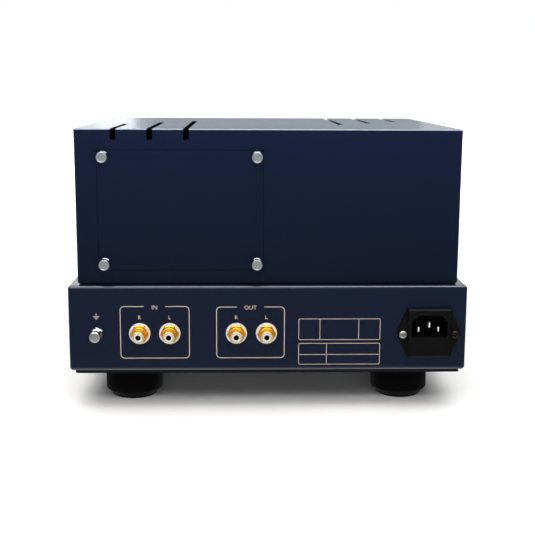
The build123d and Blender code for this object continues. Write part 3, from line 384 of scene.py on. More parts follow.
foot_black, wire, look = new_finish("foot_black", Specular_Ior_Level=0.02)
grain = wire.noise(2200, 2.0)
drive(wire.blend(grain, (0.0012, 0.0012, 0.0012, 1), (0.0026, 0.0026, 0.0025, 1)), look["Base Color"])
drive(grain * 0.15 + 0.45, look["Roughness"])
drive(wire.bump(grain, 0.25, 0.00005), look["Normal"])
FEET = [(x, y, 0) for y in (149.0, -130.0) for x in (-98.7, 98.7)]
foot = turned([(1.5, 15.4), (1.5, 25.4), (20.4, 25.4), (20.8, 25.0), (20.8, 6.1), (20.6, 5.6),
               (16.9, 1.9), (16.7, 1.6), (16.7, 1.0), (16.5, 0.8), (15.85, 0.8), (15.85, 2.5)], 96)
fit(copies(foot, FEET), "turned_feet", "chassis", "foot_black", foot_black, "foot_bodies")

pad_rubber, wire, look = new_finish("pad_rubber", Specular_Ior_Level=0.25)
dust = wire.noise(600, 3.0)
drive(wire.blend(dust, (0.012, 0.012, 0.012, 1), (0.022, 0.021, 0.020, 1)), look["Base Color"])
drive(dust * 0.15 + 0.75, look["Roughness"])
pad = turned([(15.75, 2.5), (15.75, 0.3), (15.4, 0.0), (13.2, 0.0), (13.0, 0.5), (12.4, 0.5),
              (12.2, 0.0), (9.2, 0.0), (9.0, 0.5), (8.4, 0.5), (8.2, 0.0)], 96)
fit(copies(pad, FEET), "ribbed_pads", "chassis", "rubber", pad_rubber, "foot_pads")


# Plated machine screws with a cross recess: eight under the bottom plate, two in the inlet's ears, of which
# one is blackened. The foot and case screws are hidden and stay as plain solids.
def cut(piece, cutter):
    """Take one object out of another."""
    taken = piece.modifiers.new("cut", "BOOLEAN")
    taken.object = cutter
    taken.solver = "EXACT"
    select_only(piece)
    bpy.ops.object.modifier_apply(modifier=taken.name)
    bpy.data.objects.remove(cutter)
    return piece


def brick(xs, ys, zs, edge=0.0, segments=2):
    """A block between a low and a high value on each axis, in millimetres, with broken edges."""
    size = [(high - low) * MM for low, high in (xs, ys, zs)]
    middle = [(low + high) / 2 * MM for low, high in (xs, ys, zs)]
    bpy.ops.object.select_all(action="DESELECT")
    bpy.ops.mesh.primitive_cube_add(size=1)
    piece = bpy.context.object
    piece.data.transform(Matrix.Translation(middle) @ Matrix.Diagonal((*size, 1)))
    if edge:
        rounding = piece.modifiers.new("edges", "BEVEL")
        rounding.width = edge * MM
        rounding.segments = segments
        bpy.ops.object.modifier_apply(modifier=rounding.name)
    return piece


def pan_screw(radius, rise, shank_r, shank_l):
    """A pan-head screw along Z, its seat at 0, with a cross recess in its head."""
    dome = [(0.97, 0), (1, 0.2), (0.96, 0.55), (0.82, 0.82), (0.6, 0.96), (0.3, 1)]
    screw = turned([(shank_r, -shank_l), (shank_r, 0), *[(radius * out, rise * up) for out, up in dome]], 32)
    arm = radius * 0.62
    slot = radius * 0.15
    depth = (rise * 0.35, rise * 2)
    cut(screw, brick((-arm, arm), (-slot, slot), depth))
    return cut(screw, brick((-slot, slot), (-arm, arm), depth))


zinc_steel, wire, look = new_finish("zinc_steel", Metallic=1.0)
plating = wire.noise(1400, 3.0)
drive(wire.blend(plating, (0.56, 0.57, 0.60, 1), (0.70, 0.71, 0.73, 1)), look["Base Color"])
drive(plating * 0.2 + 0.30, look["Roughness"])
paint(zinc_steel, "foot_screws", "case_screws", "gain_shaft", "load_shaft", "selector_switches",
      "selector_nuts", "transformer_clamp", "board_spacers", "ground_washer",
      *[f"thumb_washer_{n}" for n in (1, 2, 3, 4)])
under = [(x, y, 25.4) for y in (170.0, 62.0, -46.0, -154.0) for x in (-133.0, 133.0)]
fit(copies(pan_screw(2.8, 2.0, 1.5, 5.0), under, (0, 0, -1)), "plate_screws", "chassis", "steel", zinc_steel,
    "bottom_screws")
dull_zinc, wire, look = new_finish("dull_zinc", Metallic=1.0)
bloom = wire.noise(1800, 3.0)
drive(wire.blend(bloom, (0.42, 0.42, 0.41, 1), (0.56, 0.56, 0.55, 1)), look["Base Color"])
drive(bloom * 0.15 + 0.46, look["Roughness"])
EAR_FACE, EAR_Z = 190.9, 54.3
OUTWARD = (0, 1, 0)
bright = place(pan_screw(2.75, 1.5, 1.5, 7.2), Vector((-94.7, EAR_FACE, EAR_Z)) * MM, OUTWARD, radians(30))
fit(bright, "inlet_screw_bright", "chassis", "steel", dull_zinc, "inlet_screws")
black_oxide, wire, look = new_finish("black_oxide", Metallic=0.6)
oxide = wire.noise(1400, 3.0)
drive(wire.blend(oxide, (0.006, 0.006, 0.006, 1), (0.014, 0.013, 0.013, 1)), look["Base Color"])
drive(oxide * 0.2 + 0.35, look["Roughness"])
dark = place(pan_screw(2.75, 1.9, 1.5, 7.2), Vector((-131.3, EAR_FACE, EAR_Z)) * MM, OUTWARD, radians(12))
fit(dark, "inlet_screw_dark", "chassis", "steel", black_oxide)


# The hatch's thumb screws: turned from aluminium, with a collar, a relieved groove, a smooth drum, a broken
# rim and a faced end. Their shanks are threaded to bite in the doubler behind the hatch.
THREAD_DEEP = 0.25


def thread(radius, low, high, pitch=0.7):
    """Steps for the crests and roots of a thread, from a low to a high value along its axis."""
    turns = int((high - low) / pitch)
    steps = []
    for turn in range(turns):
        start = low + turn * pitch
        steps += [(radius - THREAD_DEEP, start), (radius, start + pitch * 0.35), (radius, start + pitch * 0.55)]
    return steps


HATCH_X, HATCH_Z = 61.1, 140.9
HALF_X, HALF_Z = 52.95, 37.15
SCREW_SEAT, CAP_SEAT, HEX_FRONT = 182.55, 193.0, 191.5
END_HIGH = 7.35
SCREW_TURN = 0.7
COLLAR = [(3.5, 0), (3.85, 0.3), (3.85, 0.85), (3.6, 1.1), (3.2, 1.1), (3.2, 2.0), (3.6, 2.0), (3.85, 2.2),
          (3.85, 2.5)]
DRUM = [(3.85, 6.8), (3.78, 7.1), (3.55, 7.34), (3.3, 7.4), (3.05, 7.4), (2.95, 7.3), (2.0, 7.3), (0.9, 7.3)]
machined_silver, wire, look = new_finish("machined_silver", Metallic=1.0)
# The tool left fine rings on each screw's end, which is faced and rougher. The thumb screws' drum sides are
# painted dark, painted shade, so their ends read brighter. The ground cap has the same end, and its hexagon's
# front is painted dark: painted shade.
u = abs(wire.axis("X") - HATCH_X * MM) - HALF_X * MM
v = abs(wire.axis("Z") - HATCH_Z * MM) - HALF_Z * MM
tool = wire.maths("SINE", (u * u + v * v) ** 0.5 * 30000.0)
cap_face = abs(wire.axis("Y") - (CAP_SEAT + END_HIGH) * MM) < 0.00009
faced = (abs(wire.axis("Y") - (SCREW_SEAT + END_HIGH) * MM) < 0.00009) + cap_face
# The hexagon's front is painted near black: painted shade.
painted_hex_shade = abs(wire.axis("Y") - (HEX_FRONT - 0.02) * MM) < 0.00006
# The drum sides of the thumb screws, above 90 mm, get a dark grey: painted shade.
drum = (1.0 - faced) * (wire.axis("Z") > 0.09)
handled = wire.noise(500, 2.0)
silver = wire.blend(handled, (0.74, 0.76, 0.80, 1), (0.84, 0.86, 0.90, 1))
shaded_silver = wire.blend(drum, wire.blend(faced * 0.75, silver, (0.56, 0.60, 0.63, 1)), (0.24, 0.25, 0.27, 1))
shaded_silver = wire.blend(cap_face, shaded_silver, (0.56, 0.55, 0.54, 1))
drive(wire.blend(painted_hex_shade, shaded_silver, (0.10, 0.10, 0.11, 1)), look["Base Color"])
drive(handled * 0.08 + 0.10 + faced * 0.34, look["Roughness"])
drive(wire.bump(tool * 0.5 + 0.5, 0.10, 0.00002), look["Normal"])
shank = [(1.5, -8.0), *thread(2.0, -7.8, -0.4), (2.0, -0.3), (2.0, 0)]
corners = [(HATCH_X + across, HATCH_Z + up) for up in (-HALF_Z, HALF_Z) for across in (-HALF_X, HALF_X)]
for number, (x, z) in enumerate(corners, 1):
    screw = turned(shank + COLLAR + DRUM, 96)
    place(screw, Vector((x, SCREW_SEAT, z)) * MM, OUTWARD, number * SCREW_TURN)
    fit(screw, f"drum_screw_{number}", f"screw_{number}", "machined_silver", machined_silver,
        f"thumb_screw_{number}")

# The ground post: a hexagonal base on a threaded stud, and a cap with the same head as the thumb screws,
# bored blind for the stud. A turntable's earth wire is clamped in the gap between them.
POST_X, CONNECTOR_Z = 120.4, 55.1
hex_base = turned([(4.75, 0), (4.85, 0.15), (4.85, 2.7), (4.6, 3.0)], 6)
stud = turned([(1.5, -10.0), *thread(2.0, -9.8, -2.2), (2.0, -2.0), (2.0, 3.0), *thread(2.0, 3.1, 8.0),
               (1.6, 8.2)], 40)
post = place(join([hex_base, stud]), Vector((POST_X, 188.5, CONNECTOR_Z)) * MM, OUTWARD)
fit(post, "earth_post", "chassis", "machined_silver", machined_silver, "ground_stud")
cap = turned([(2.06, 6.2), (2.06, 0), *COLLAR, (3.85, 6.55), (3.74, 7.0), (3.5, 7.3), (3.25, 7.4), (1.0, 7.4)],
             96)
place(cap, Vector((POST_X, CAP_SEAT, CONNECTOR_Z)) * MM, OUTWARD)
fit(cap, "earth_cap", "ground_cap", "machined_silver", machined_silver, "ground_cap")

# The phono jacks: gold-plated shells with a hexagon, a shoulder and a plain barrel, on white insulating
# discs, with a red or black ring in the groove for the channel, and a white core drilled for the plug's pin.
JACKS = [(x, 188.5, CONNECTOR_Z) for x in (90.3, 69.3, 22.6, 1.5)]
gold_plate, wire, look = new_finish("gold_plate", Metallic=1.0)
wash = wire.noise(260, 2.0)
# The barrel's lip is painted pale and less metallic: a painted highlight.
painted_lip_highlight = wire.axis("Y") > 0.2016
gold = wire.blend(wash, (0.88, 0.46, 0.030, 1), (0.95, 0.54, 0.06, 1))
drive(wire.blend(painted_lip_highlight, gold, (0.60, 0.48, 0.28, 1)), look["Base Color"])
drive(1.0 - painted_lip_highlight * 0.6, look["Metallic"])
drive(wash * 0.12 + 0.44, look["Roughness"])
paint(gold_plate, "rear_nuts")
barrel = turned([*thread(4.15, -14, -5.0, 0.75), (4.15, 5.6), (5.0, 5.6), (5.2, 5.75), (5.2, 6.2), (5.0, 6.4),
                 (4.15, 6.4), (4.15, 12.9), (4.08, 13.4), (3.88, 13.8), (3.6, 14.0), (3.2, 13.93), (3.05, 13.7),
                 (3.05, 12.6), (2.62, 12.5), (2.62, -14), (3.9, -14)], 64, bored=True)
flats = turned([(6.4, 1.6), (6.755, 1.85), (6.755, 3.75), (6.4, 4.0)], 6)
shell = join([barrel, place(flats, (0, 0, 0), turn=radians(30))])
fit(copies(shell, JACKS, OUTWARD), "gold_shells", "chassis", "gold", gold_plate, "jack_shells")
contact = turned([(0.8, -21.0), (0.95, -20.8), (0.95, 1.9), (1.3, 2.0), (1.3, 9.0), (1.2, 9.2), (1.1, 9.0),
                  (1.1, 2.3)], 32)
fit(copies(contact, JACKS, OUTWARD), "centre_contacts", "chassis", "gold", gold_plate, "jack_contacts")

ptfe_white, wire, look = new_finish("ptfe_white", Specular_Ior_Level=0.4)
milky = wire.noise(700, 2.0)
drive(wire.blend(milky, (0.55, 0.55, 0.56, 1), (0.64, 0.64, 0.64, 1)), look["Base Color"])
drive(milky * 0.1 + 0.36, look["Roughness"])
outer_disc = turned([(4.2, -1.8), (5.5, -1.8), (5.5, 0), (7.3, 0), (7.45, 0.2), (7.45, 1.0), (7.3, 1.4),
                     (6.95, 1.6), (4.2, 1.6), (4.2, -1.8)], 72, bored=True)
inner_disc = turned([(4.2, -3.2), (7.3, -3.2), (7.45, -3.1), (7.45, -2.1), (7.3, -2.0), (4.2, -2.0),
                     (4.2, -3.2)], 72, bored=True)
discs = copies(join([outer_disc, inner_disc]), JACKS, OUTWARD)
fit(discs, "white_discs", "chassis", "ptfe_white", ptfe_white, "jack_discs")
core = turned([(1.0, -15.6), (2.58, -15.6), (2.58, 12.6), (3.0, 12.7), (3.0, 13.45), (2.9, 13.7), (2.7, 13.85),
               (2.3, 13.85), (2.0, 13.75), (1.85, 13.5), (1.85, 2), (1.0, 2), (1.0, -15.6)], 64, bored=True)
fit(copies(core, JACKS, OUTWARD), "white_cores", "chassis", "ptfe_white", ptfe_white, "jack_insulators")
# The core's bore is lined with a black sleeve where the contact's springs are seen as a dark hole: the sleeve
# is painted shade.
throat_painted_shade, wire, look = new_finish("throat_painted_shade", Specular_Ior_Level=0.1)
shade_grain = wire.noise(900)
drive(wire.blend(shade_grain, (0.0015, 0.0015, 0.0015, 1), (0.003, 0.003, 0.003, 1)), look["Base Color"])
drive(shade_grain * 0.1 + 0.6, look["Roughness"])
throat = turned([(1.83, 2.1), (1.83, 13.4), (1.73, 13.4), (1.73, 2.1), (1.83, 2.1)], 40, bored=True)
fit(copies(throat, JACKS, OUTWARD), "jack_throat_shades", "chassis", "black_plastic", throat_painted_shade)

for name, spots, slot, shades, side in (
    ("red_rings", JACKS[0::2], "ring_red", ((0.62, 0.05, 0.012, 1), (0.75, 0.09, 0.02, 1)), "right"),
    ("black_rings", JACKS[1::2], "ring_black", ((0.020, 0.012, 0.008, 1), (0.035, 0.022, 0.015, 1)), "left"),
):
    ring_finish, wire, look = new_finish(name)
    sheen = wire.noise(900)
    drive(wire.blend(sheen, *shades), look["Base Color"])
    drive(sheen * 0.1 + 0.3, look["Roughness"])
    ring = turned([(4.2, 4.0), (5.1, 4.0), (5.2, 4.12), (5.2, 5.48), (5.1, 5.6), (4.2, 5.6), (4.2, 4.0)],
                  64, bored=True)
    fit(copies(ring, spots, OUTWARD), name, "chassis", slot, ring_finish, f"jack_rings_{side}")

# The mains inlet and its fuse drawer, and the power rocker's housing: moulded in black plastic with a fine
# sparked texture. The inlet's three blades are nickel-plated, with their tips chamfered to lead the plug on.
moulded_black, wire, look = new_finish("moulded_black", Specular_Ior_Level=0.07)
spark = wire.noise(3000, 2.0)
drive(wire.blend(spark, (0.0024, 0.0024, 0.0023, 1), (0.0048, 0.0048, 0.0046, 1)), look["Base Color"])
drive(spark * 0.12 + 0.46, look["Roughness"])
drive(wire.bump(spark, 0.25, 0.00004), look["Normal"])
paint(moulded_black, "inlet_body", "fuse_drawer", "switch_housing")
# The blades' tips are painted pale and mostly non-metallic: a painted highlight. The rest of the nickel nearer
# the rear than 170 mm, the blades' sides and the fuse's caps, is dark grey, and the nickel further in keeps its
# bright colour.
nickel_plate, wire, look = new_finish("nickel_plate", Metallic=1.0)
plating = wire.noise(900, 3.0)
bright = wire.blend(plating, (0.80, 0.79, 0.77, 1), (0.92, 0.91, 0.89, 1))
along = wire.axis("Y")
painted_tip_highlight = (abs(along - 0.1884) < 0.00012) + (abs(along - 0.1914) < 0.00012)
drive(wire.blend(painted_tip_highlight + (along < 0.17), (0.13, 0.126, 0.12, 1), bright), look["Base Color"])
drive(1.0 - painted_tip_highlight * 0.8, look["Metallic"])
drive(plating * 0.12 + 0.42, look["Roughness"])
TAG_Y = 156.5
TIP_X, TIP_Z = 0.48, 0.82


def blade(x, z, tip):
    """A contact blade from its tag inside to its tip, which narrows over its last millimetre."""
    pin = brick((x - 1.0, x + 1.0), (TAG_Y, tip), (z - 2.0, z + 2.0), 0.15)
    end = max(vertex.co.y for vertex in pin.data.vertices)
    bpy.ops.object.mode_set(mode="EDIT")
    bpy.ops.mesh.select_all(action="SELECT")
    bpy.ops.mesh.bisect(plane_co=(0, end - 1.2 * MM, 0), plane_no=(0, 1, 0))
    bpy.ops.object.mode_set(mode="OBJECT")
    for vertex in pin.data.vertices:
        if vertex.co.y > end - 0.4 * MM:
            vertex.co.x = x * MM + (vertex.co.x - x * MM) * TIP_X
            vertex.co.z = z * MM + (vertex.co.z - z * MM) * TIP_Z
    return pin


blades = join([blade(-120.0, 57.5, 188.4), blade(-106.0, 57.5, 188.4), blade(-113.0, 61.2, 191.4)])
fit(blades, "inlet_pins", "chassis", "steel", nickel_plate, "inlet_blades")

# The mains fuse lies across the drawer: a glass tube with a nickel cap pressed on each end, and the wire of
# the fuse drawn through it. The glass is thin, so it is clear face on and shows towards its edges.
clear_glass, wire, look = new_finish("clear_glass", Metallic=1.0)
rim = wire.add("LayerWeight", {}, {"Blend": 0.5}, 1)
dust = wire.noise(260, 2.0)
drive(wire.blend(dust, (0.84, 0.88, 0.88, 1), (0.93, 0.96, 0.95, 1)), look["Base Color"])
drive(rim ** 3.0 * 0.75 + dust * 0.02 + 0.06, look["Alpha"])
drive(dust * 0.03 + 0.02, look["Roughness"])
FUSE_END = Vector((-123.0, 182.9, 46.0)) * MM
ACROSS = (1, 0, 0)
fuse_tube = place(turned([(2.45, 1), (2.45, 19)], 40), FUSE_END, ACROSS)
fit(fuse_tube, "fuse_tube", "drawer", "fuse_glass", clear_glass, "fuse")
metal = []
for start in (0.0, 15.2):
    ferrule = [(2.2, 0), (2.5, 0.1), (2.6, 0.3), (2.6, 4.4), (2.5, 4.7), (2.3, 4.8)]
    metal.append(place(turned([(radius, start + up) for radius, up in ferrule], 40), FUSE_END, ACROSS))
metal.append(place(turned([(0.12, 4), (0.12, 16)], 8), FUSE_END, ACROSS))
fit(join(metal), "fuse_caps", "drawer", "steel", nickel_plate)

# The power rocker's paddle: the same plastic as its housing, polished, with a line for on and a ring for off
# printed in white on its two flats.
polished_black, wire, look = new_finish("polished_black")
smear = wire.noise(120)
drive(wire.blend(smear, (0.006, 0.006, 0.006, 1), (0.010, 0.010, 0.010, 1)), look["Base Color"])
drive(smear * 0.12 + 0.12, look["Roughness"])
paint(polished_black, "switch_rocker")
white_ink, wire, look = new_finish("white_ink", Specular_Ior_Level=0.2)
film = wire.noise(2600, 2.0)
drive(wire.blend(film, (0.72, 0.72, 0.70, 1), (0.85, 0.85, 0.83, 1)), look["Base Color"])
drive(film * 0.1 + 0.45, look["Roughness"])
on_mark = brick((-0.22, 0.22), (-1.3, 1.3), (0, 0.04))
place(on_mark, Vector((-141.27, -123.35, 58.4)) * MM, (-0.959, 0.282, 0))
off_mark = turned([(1.35, 0), (1.35, 0.04), (1.0, 0.04), (1.0, 0), (1.35, 0)], 32, bored=True)
place(off_mark, Vector((-140.06, -115.74, 58.4)) * MM, (-0.9996, 0.028, 0))
fit(join([on_mark, off_mark]), "rocker_marks", "rocker", None, white_ink)


# The knobs: turned from aluminium, with a knurled grip between two plain bands, a slightly sunk face with
# fine turning marks, and a milled pointer line filled with dark enamel. Each is pushed on its switch's shaft.
def knurl(piece, low, high, depth):
    """Cut fine straight grooves round a band of a turned piece, between two heights in millimetres."""
    reach = max(Vector((v.co.x, v.co.y)).length for v in piece.data.vertices)
    select_only(piece)
    bpy.ops.object.mode_set(mode="EDIT")
    bpy.ops.mesh.select_all(action="DESELECT")
    bpy.ops.object.mode_set(mode="OBJECT")
    for index, vertex in enumerate(piece.data.vertices):
        on_rim = Vector((vertex.co.x, vertex.co.y)).length > reach - 0.00002
        vertex.select = on_rim and index % 2 == 0 and low * MM < vertex.co.z < high * MM
    bpy.ops.object.mode_set(mode="EDIT")
    size = 1 - depth * MM / reach
    bpy.ops.transform.resize(value=(size, size, 1), center_override=(0, 0, 0))
    bpy.ops.object.mode_set(mode="OBJECT")
    return piece


DIAL_X, DIAL_Z = 72.0, 58.4
PANEL_FACE = -179.5
TOWARDS_FRONT = (0, -1, 0)
turned_silver, wire, look = new_finish("turned_silver", Metallic=1.0)
u = abs(wire.axis("X")) - DIAL_X * MM
v = wire.axis("Z") - DIAL_Z * MM
tool = wire.maths("SINE", (u * u + v * v) ** 0.5 * 14000.0)
handled = wire.noise(90, 3.0)
drive(wire.blend(handled, (0.60, 0.61, 0.63, 1), (0.69, 0.70, 0.71, 1)), look["Base Color"])
drive(handled * 0.14 + 0.20, look["Roughness"])
drive(wire.bump(tool * 0.5 + 0.5, 0.18, 0.00003), look["Normal"])
enamel_blue, wire, look = new_finish("enamel_blue")
fill = wire.noise(800)
drive(wire.blend(fill, (0.0022, 0.0066, 0.023, 1), (0.0040, 0.0100, 0.035, 1)), look["Base Color"])
drive(fill * 0.1 + 0.22, look["Roughness"])
GRIP = [(3.05, 16), (3.05, 0), (16.4, 0), (17.3, 0.5), (17.5, 0.8), (17.5, 2.4), (17.8, 2.6), (18, 2.8),
        (18, 17.4), (17.8, 17.6), (17.5, 17.8), (17.5, 20.8), (17.3, 21.4), (16.7, 21.9), (16.2, 22),
        (14.6, 22), (14.4, 21.75), (8, 21.75), (1.5, 21.75)]
for body, x, turn in (("gain", -DIAL_X, 45.0), ("load", DIAL_X, 75.0)):
    knob = knurl(turned(GRIP, 180), 2.7, 17.5, 0.45)
    cut(knob, brick((-0.8, 0.8), (8.1, 19.0), (21.0, 23.0)))
    line = brick((-0.77, 0.77), (8.15, 17.2), (21.0, 21.5), 0.1)
    for piece, name, slot, finish in (
        (knob, f"{body}_grip", "machined_silver", turned_silver),
        (line, f"{body}_pointer", None, enamel_blue),
    ):
        place(piece, Vector((x, PANEL_FACE - 1.0, DIAL_Z)) * MM, TOWARDS_FRONT, radians(turn))
        fit(piece, name, body, slot, finish, *([f"{body}_knob"] if piece is knob else []))

# The front panel's dials: plain numbers and a tick for each detent of the two switches, four for the gain
# and six for the load, in the same ink as the legends at the back.
NUMBER_CIRCLE, TICK_CIRCLE = 25.2, 21.4
DETENT = 30


def on_front(piece, x, z, turn=0.0):
    """Lay a flat drawing on the front panel, turned about its own middle."""
    upright = Matrix.Rotation(pi / 2, 4, "X") @ Matrix.Rotation(-radians(turn), 4, "Z")
    piece.data.transform(Matrix.Translation((x * MM, PANEL_FACE * MM, z * MM)) @ upright)
    return thicken(piece, INK)


dials = []
for x, count in ((-DIAL_X, 4), (DIAL_X, 6)):
    for number in range(count):
        angle = (number - (count - 1) / 2) * DETENT
        across, up = sin(radians(angle)), cos(radians(angle))
        figure = letters(str(number + 1), 3.0 * MM)
        dials.append(on_front(figure, x + NUMBER_CIRCLE * across, DIAL_Z + NUMBER_CIRCLE * up))
        tick = bar(0.45 * MM, 2.0 * MM)
        dials.append(on_front(tick, x + TICK_CIRCLE * across, DIAL_Z + TICK_CIRCLE * up, angle))
fit(join(dials), "dial_numbers", "chassis", None, copper_ink)

# The pilot lamp: an amber lens, domed just proud of the panel, in a black plastic body that is pushed through
# the front wall from behind.
amber_lens, wire, look = new_finish("amber_lens", Specular_Ior_Level=0.6, Coat_Roughness=0.02)
depth = wire.noise(700)
drive(wire.blend(depth, (0.55, 0.14, 0.01, 1), (0.80, 0.26, 0.02, 1)), look["Base Color"])
drive(depth * 0.05 + 0.06, look["Roughness"])
LAMP = Vector((0, PANEL_FACE, DIAL_Z)) * MM
lens = turned([(2.8, -11.5), (2.9, -11), (2.9, -0.1), (2.8, 0.2), (2.45, 0.55), (1.9, 0.8), (1.2, 0.94),
               (0.5, 1.0)], 48)
place(lens, LAMP, TOWARDS_FRONT)
fit(lens, "lamp_lens", "chassis", "lens", amber_lens, "pilot_lamp")
lamp_body = turned([(4.2, -22), (4.5, -21.6), (4.5, -12.2), (4.3, -12)], 48)
place(lamp_body, LAMP, TOWARDS_FRONT)
fit(lamp_body, "lamp_body", "chassis", "black_plastic", moulded_black)

# The cage's button-head screws: one through each end plate into each cross bar, blackened, with a hexagon
# socket. The bars stand evenly up the front, round the shoulder and over the top.
BARS, BAR_STEP = 15, 12.81
FRONT_Y, FRONT_FOOT, RISE = -160.5, 96.9, 50.0
SWEEP = 34.5
BEND_Y, BEND_Z = FRONT_Y + SWEEP, FRONT_FOOT + RISE
END_PLATE = 133.6


def bar_spot(along):
    """The Y and Z of a bar, by its distance along the cage's outline from the foot of the front."""
    if along < RISE:
        return FRONT_Y, FRONT_FOOT + along
    angle = (along - RISE) / SWEEP
    if angle < pi / 2:
        return BEND_Y - SWEEP * cos(angle), BEND_Z + SWEEP * sin(angle)
    return BEND_Y + along - RISE - SWEEP * pi / 2, BEND_Z + SWEEP


button = turned([(2.0, -0.4), (2.0, 0), (1.98, 0.3), (1.8, 0.75), (1.4, 1.05), (0.9, 1.2)], 24)
cut(button, turned([(0.75, 0.5), (0.75, 2)], 6))
for side, name in ((-1, "cage_screws_left"), (1, "cage_screws_right")):
    spots = [(side * END_PLATE, *bar_spot(number * BAR_STEP)) for number in range(BARS)]
    head = button.copy()
    head.data = button.data.copy()
    scene.collection.objects.link(head)
    fit(copies(head, spots, (side, 0, 0)), name, "cage", "steel", black_oxide)
bpy.data.objects.remove(button)


# The tubes. A rectifier has a moulded base with eight pins and a keyed spigot, a blown bulb, and two grey
# anodes between discs of mica. The driver and phono tubes are all glass, with nine pins in the floor.
DOME_STEPS = 7


def shoulder(low, high, radius, tip):
    """Steps from a bulb's straight wall over its dome to the sealed tip."""
    outline = []
    for step in range(1, DOME_STEPS + 1):
        angle = step / DOME_STEPS * pi / 2
        outline.append((tip + (radius - tip) * cos(angle) ** 0.8, low + (high - low) * sin(angle)))
    return outline


def pins(count, gaps, circle, radius, length):
    """A ring of round-ended pins that hang from 0."""
    angles = [2 * pi * number / (count + gaps) for number in range(count)]
    pin = turned([(radius * 0.5, -length), (radius * 0.9, 0.25 - length), (radius, 0.6 - length),
                  (radius, 0.5)], 12)
    return copies(pin, [(circle * sin(angle), circle * cos(angle), 0) for angle in angles])


def slab(x, y, half_x, half_y, low, high, edge):
    """An upright folded-sheet box, about a point."""
    return brick((x - half_x, x + half_x), (y - half_y, y + half_y), (low, high), edge)


mica, wire, look = new_finish("mica", Specular_Ior_Level=0.6)
flakes = wire.noise(420, 4.0)
drive(wire.blend(flakes, (0.46, 0.42, 0.34, 1), (0.66, 0.62, 0.53, 1)), look["Base Color"])
drive(flakes * 0.25 + 0.2, look["Roughness"])
drive(flakes * 0.3 + 0.55, look["Alpha"])
anode_grey, wire, look = new_finish("anode_grey", Metallic=0.7)
carbon = wire.noise(1200, 3.0)
drive(wire.blend(carbon, (0.030, 0.030, 0.032, 1), (0.075, 0.074, 0.076, 1)), look["Base Color"])
drive(carbon * 0.2 + 0.48, look["Roughness"])
drive(wire.bump(carbon, 0.2, 0.00005), look["Normal"])
getter_silver, wire, look = new_finish("getter_silver", Metallic=1.0)
flash = wire.noise(220, 3.0)
drive(wire.blend(flash, (0.18, 0.17, 0.17, 1), (0.62, 0.61, 0.60, 1)), look["Base Color"])
drive(flash * 0.15 + 0.06, look["Roughness"])
bakelite, wire, look = new_finish("bakelite", Specular_Ior_Level=0.5)
swirl = wire.noise(180, 3.0)
drive(wire.blend(swirl, (0.010, 0.006, 0.004, 1), (0.024, 0.013, 0.008, 1)), look["Base Color"])
drive(swirl * 0.12 + 0.2, look["Roughness"])


def tube(body, node, at, base, pin_ring, stack, bulb, flash, disc_heights, disc_r):
    """Fix one tube's pieces to its body: bulb, getter film, metalwork, base, pins and mica discs."""
    spot = Vector(at) * MM
    for kind, made, slot, finish in (
        ("bulb", bulb, "valve_glass", clear_glass),
        ("getter", flash, "steel", getter_silver),
        ("anodes", stack, "steel", anode_grey),
        ("base", base, "black_plastic", bakelite),
        ("pins", pin_ring, "steel", nickel_plate),
    ):
        if made:
            place(made, spot)
            fit(made, f"{node}_{kind}", body, slot, finish, *([node] if kind == "bulb" else []))
    plates = []
    for z in disc_heights:
        plates.append(turned([(disc_r - 0.15, z), (disc_r, z + 0.15), (disc_r, z + 0.65),
                              (disc_r - 0.15, z + 0.8)], 36))
    fit(place(join(plates), spot), f"{node}_mica", body, None, mica)


for side, x in (("left", -88.0), ("right", 88.0)):
    foot = turned([(3.6, -11), (4.0, -10.4), (4.0, 0), (15.4, 0), (16.2, 0.3), (16.5, 1.0), (16.5, 3.6),
                   (16.25, 3.8), (16.25, 4.3), (16.5, 4.5), (16.5, 13.2), (16.2, 13.8), (15.6, 14),
                   (13.9, 14)], 72)
    key = brick((-0.7, 0.7), (3.4, 4.7), (-10.6, -0.2), 0.1)
    bulb = turned([(13.8, 14.1), (14.0, 14.6), (14.1, 16.5), (14.9, 19), (17.2, 21.6), (19.0, 23.4),
                   (19.5, 25.2), (19.5, 54.5), *shoulder(54.5, 67.2, 19.5, 1.6), (1.3, 68.3), (0.7, 69.5),
                   (0.2, 70)], 72)
    flash = turned([(19.0, 54.6), *shoulder(55.0, 66.5, 18.9, 1.2)], 72)
    stack = [brick((-0.5, 0.5), (-0.5, 0.5), (15.2, 24.0))]
    for centre in (-6.5, 6.5):
        stack.append(slab(centre, 0, 5.0, 3.3, 23.8, 52.0, 0.9))
        stack += [slab(centre + shift, 0, 0.25, 5.2, 24.6, 51.4, 0.1) for shift in (-4.6, 4.6)]
        stack += [slab(centre, 0, 5.15, 3.45, z, z + 0.7, 0.25) for z in (31.0, 37.5, 44.0)]
        stack.append(place(turned([(0.45, 15.2), (0.45, 56.0)], 8), (centre * MM, 0, 0)))
    hoop = turned([(5.2, 60.0), (5.2, 60.5), (4.6, 60.5), (4.6, 60.0), (5.2, 60.0)], 32, bored=True)
    stack += [hoop, place(turned([(0.35, 52.5), (0.35, 60.2)], 8), (4.9 * MM, 0, 0))]
    tube(f"rectifier_{side}", f"rectifier_tube_{side}", (x, -105.0, 93.9), join([foot, key]),
         pins(8, 0, 8.7, 1.2, 9.0), join(stack), bulb, flash, (23.0, 52.0), 14.0)

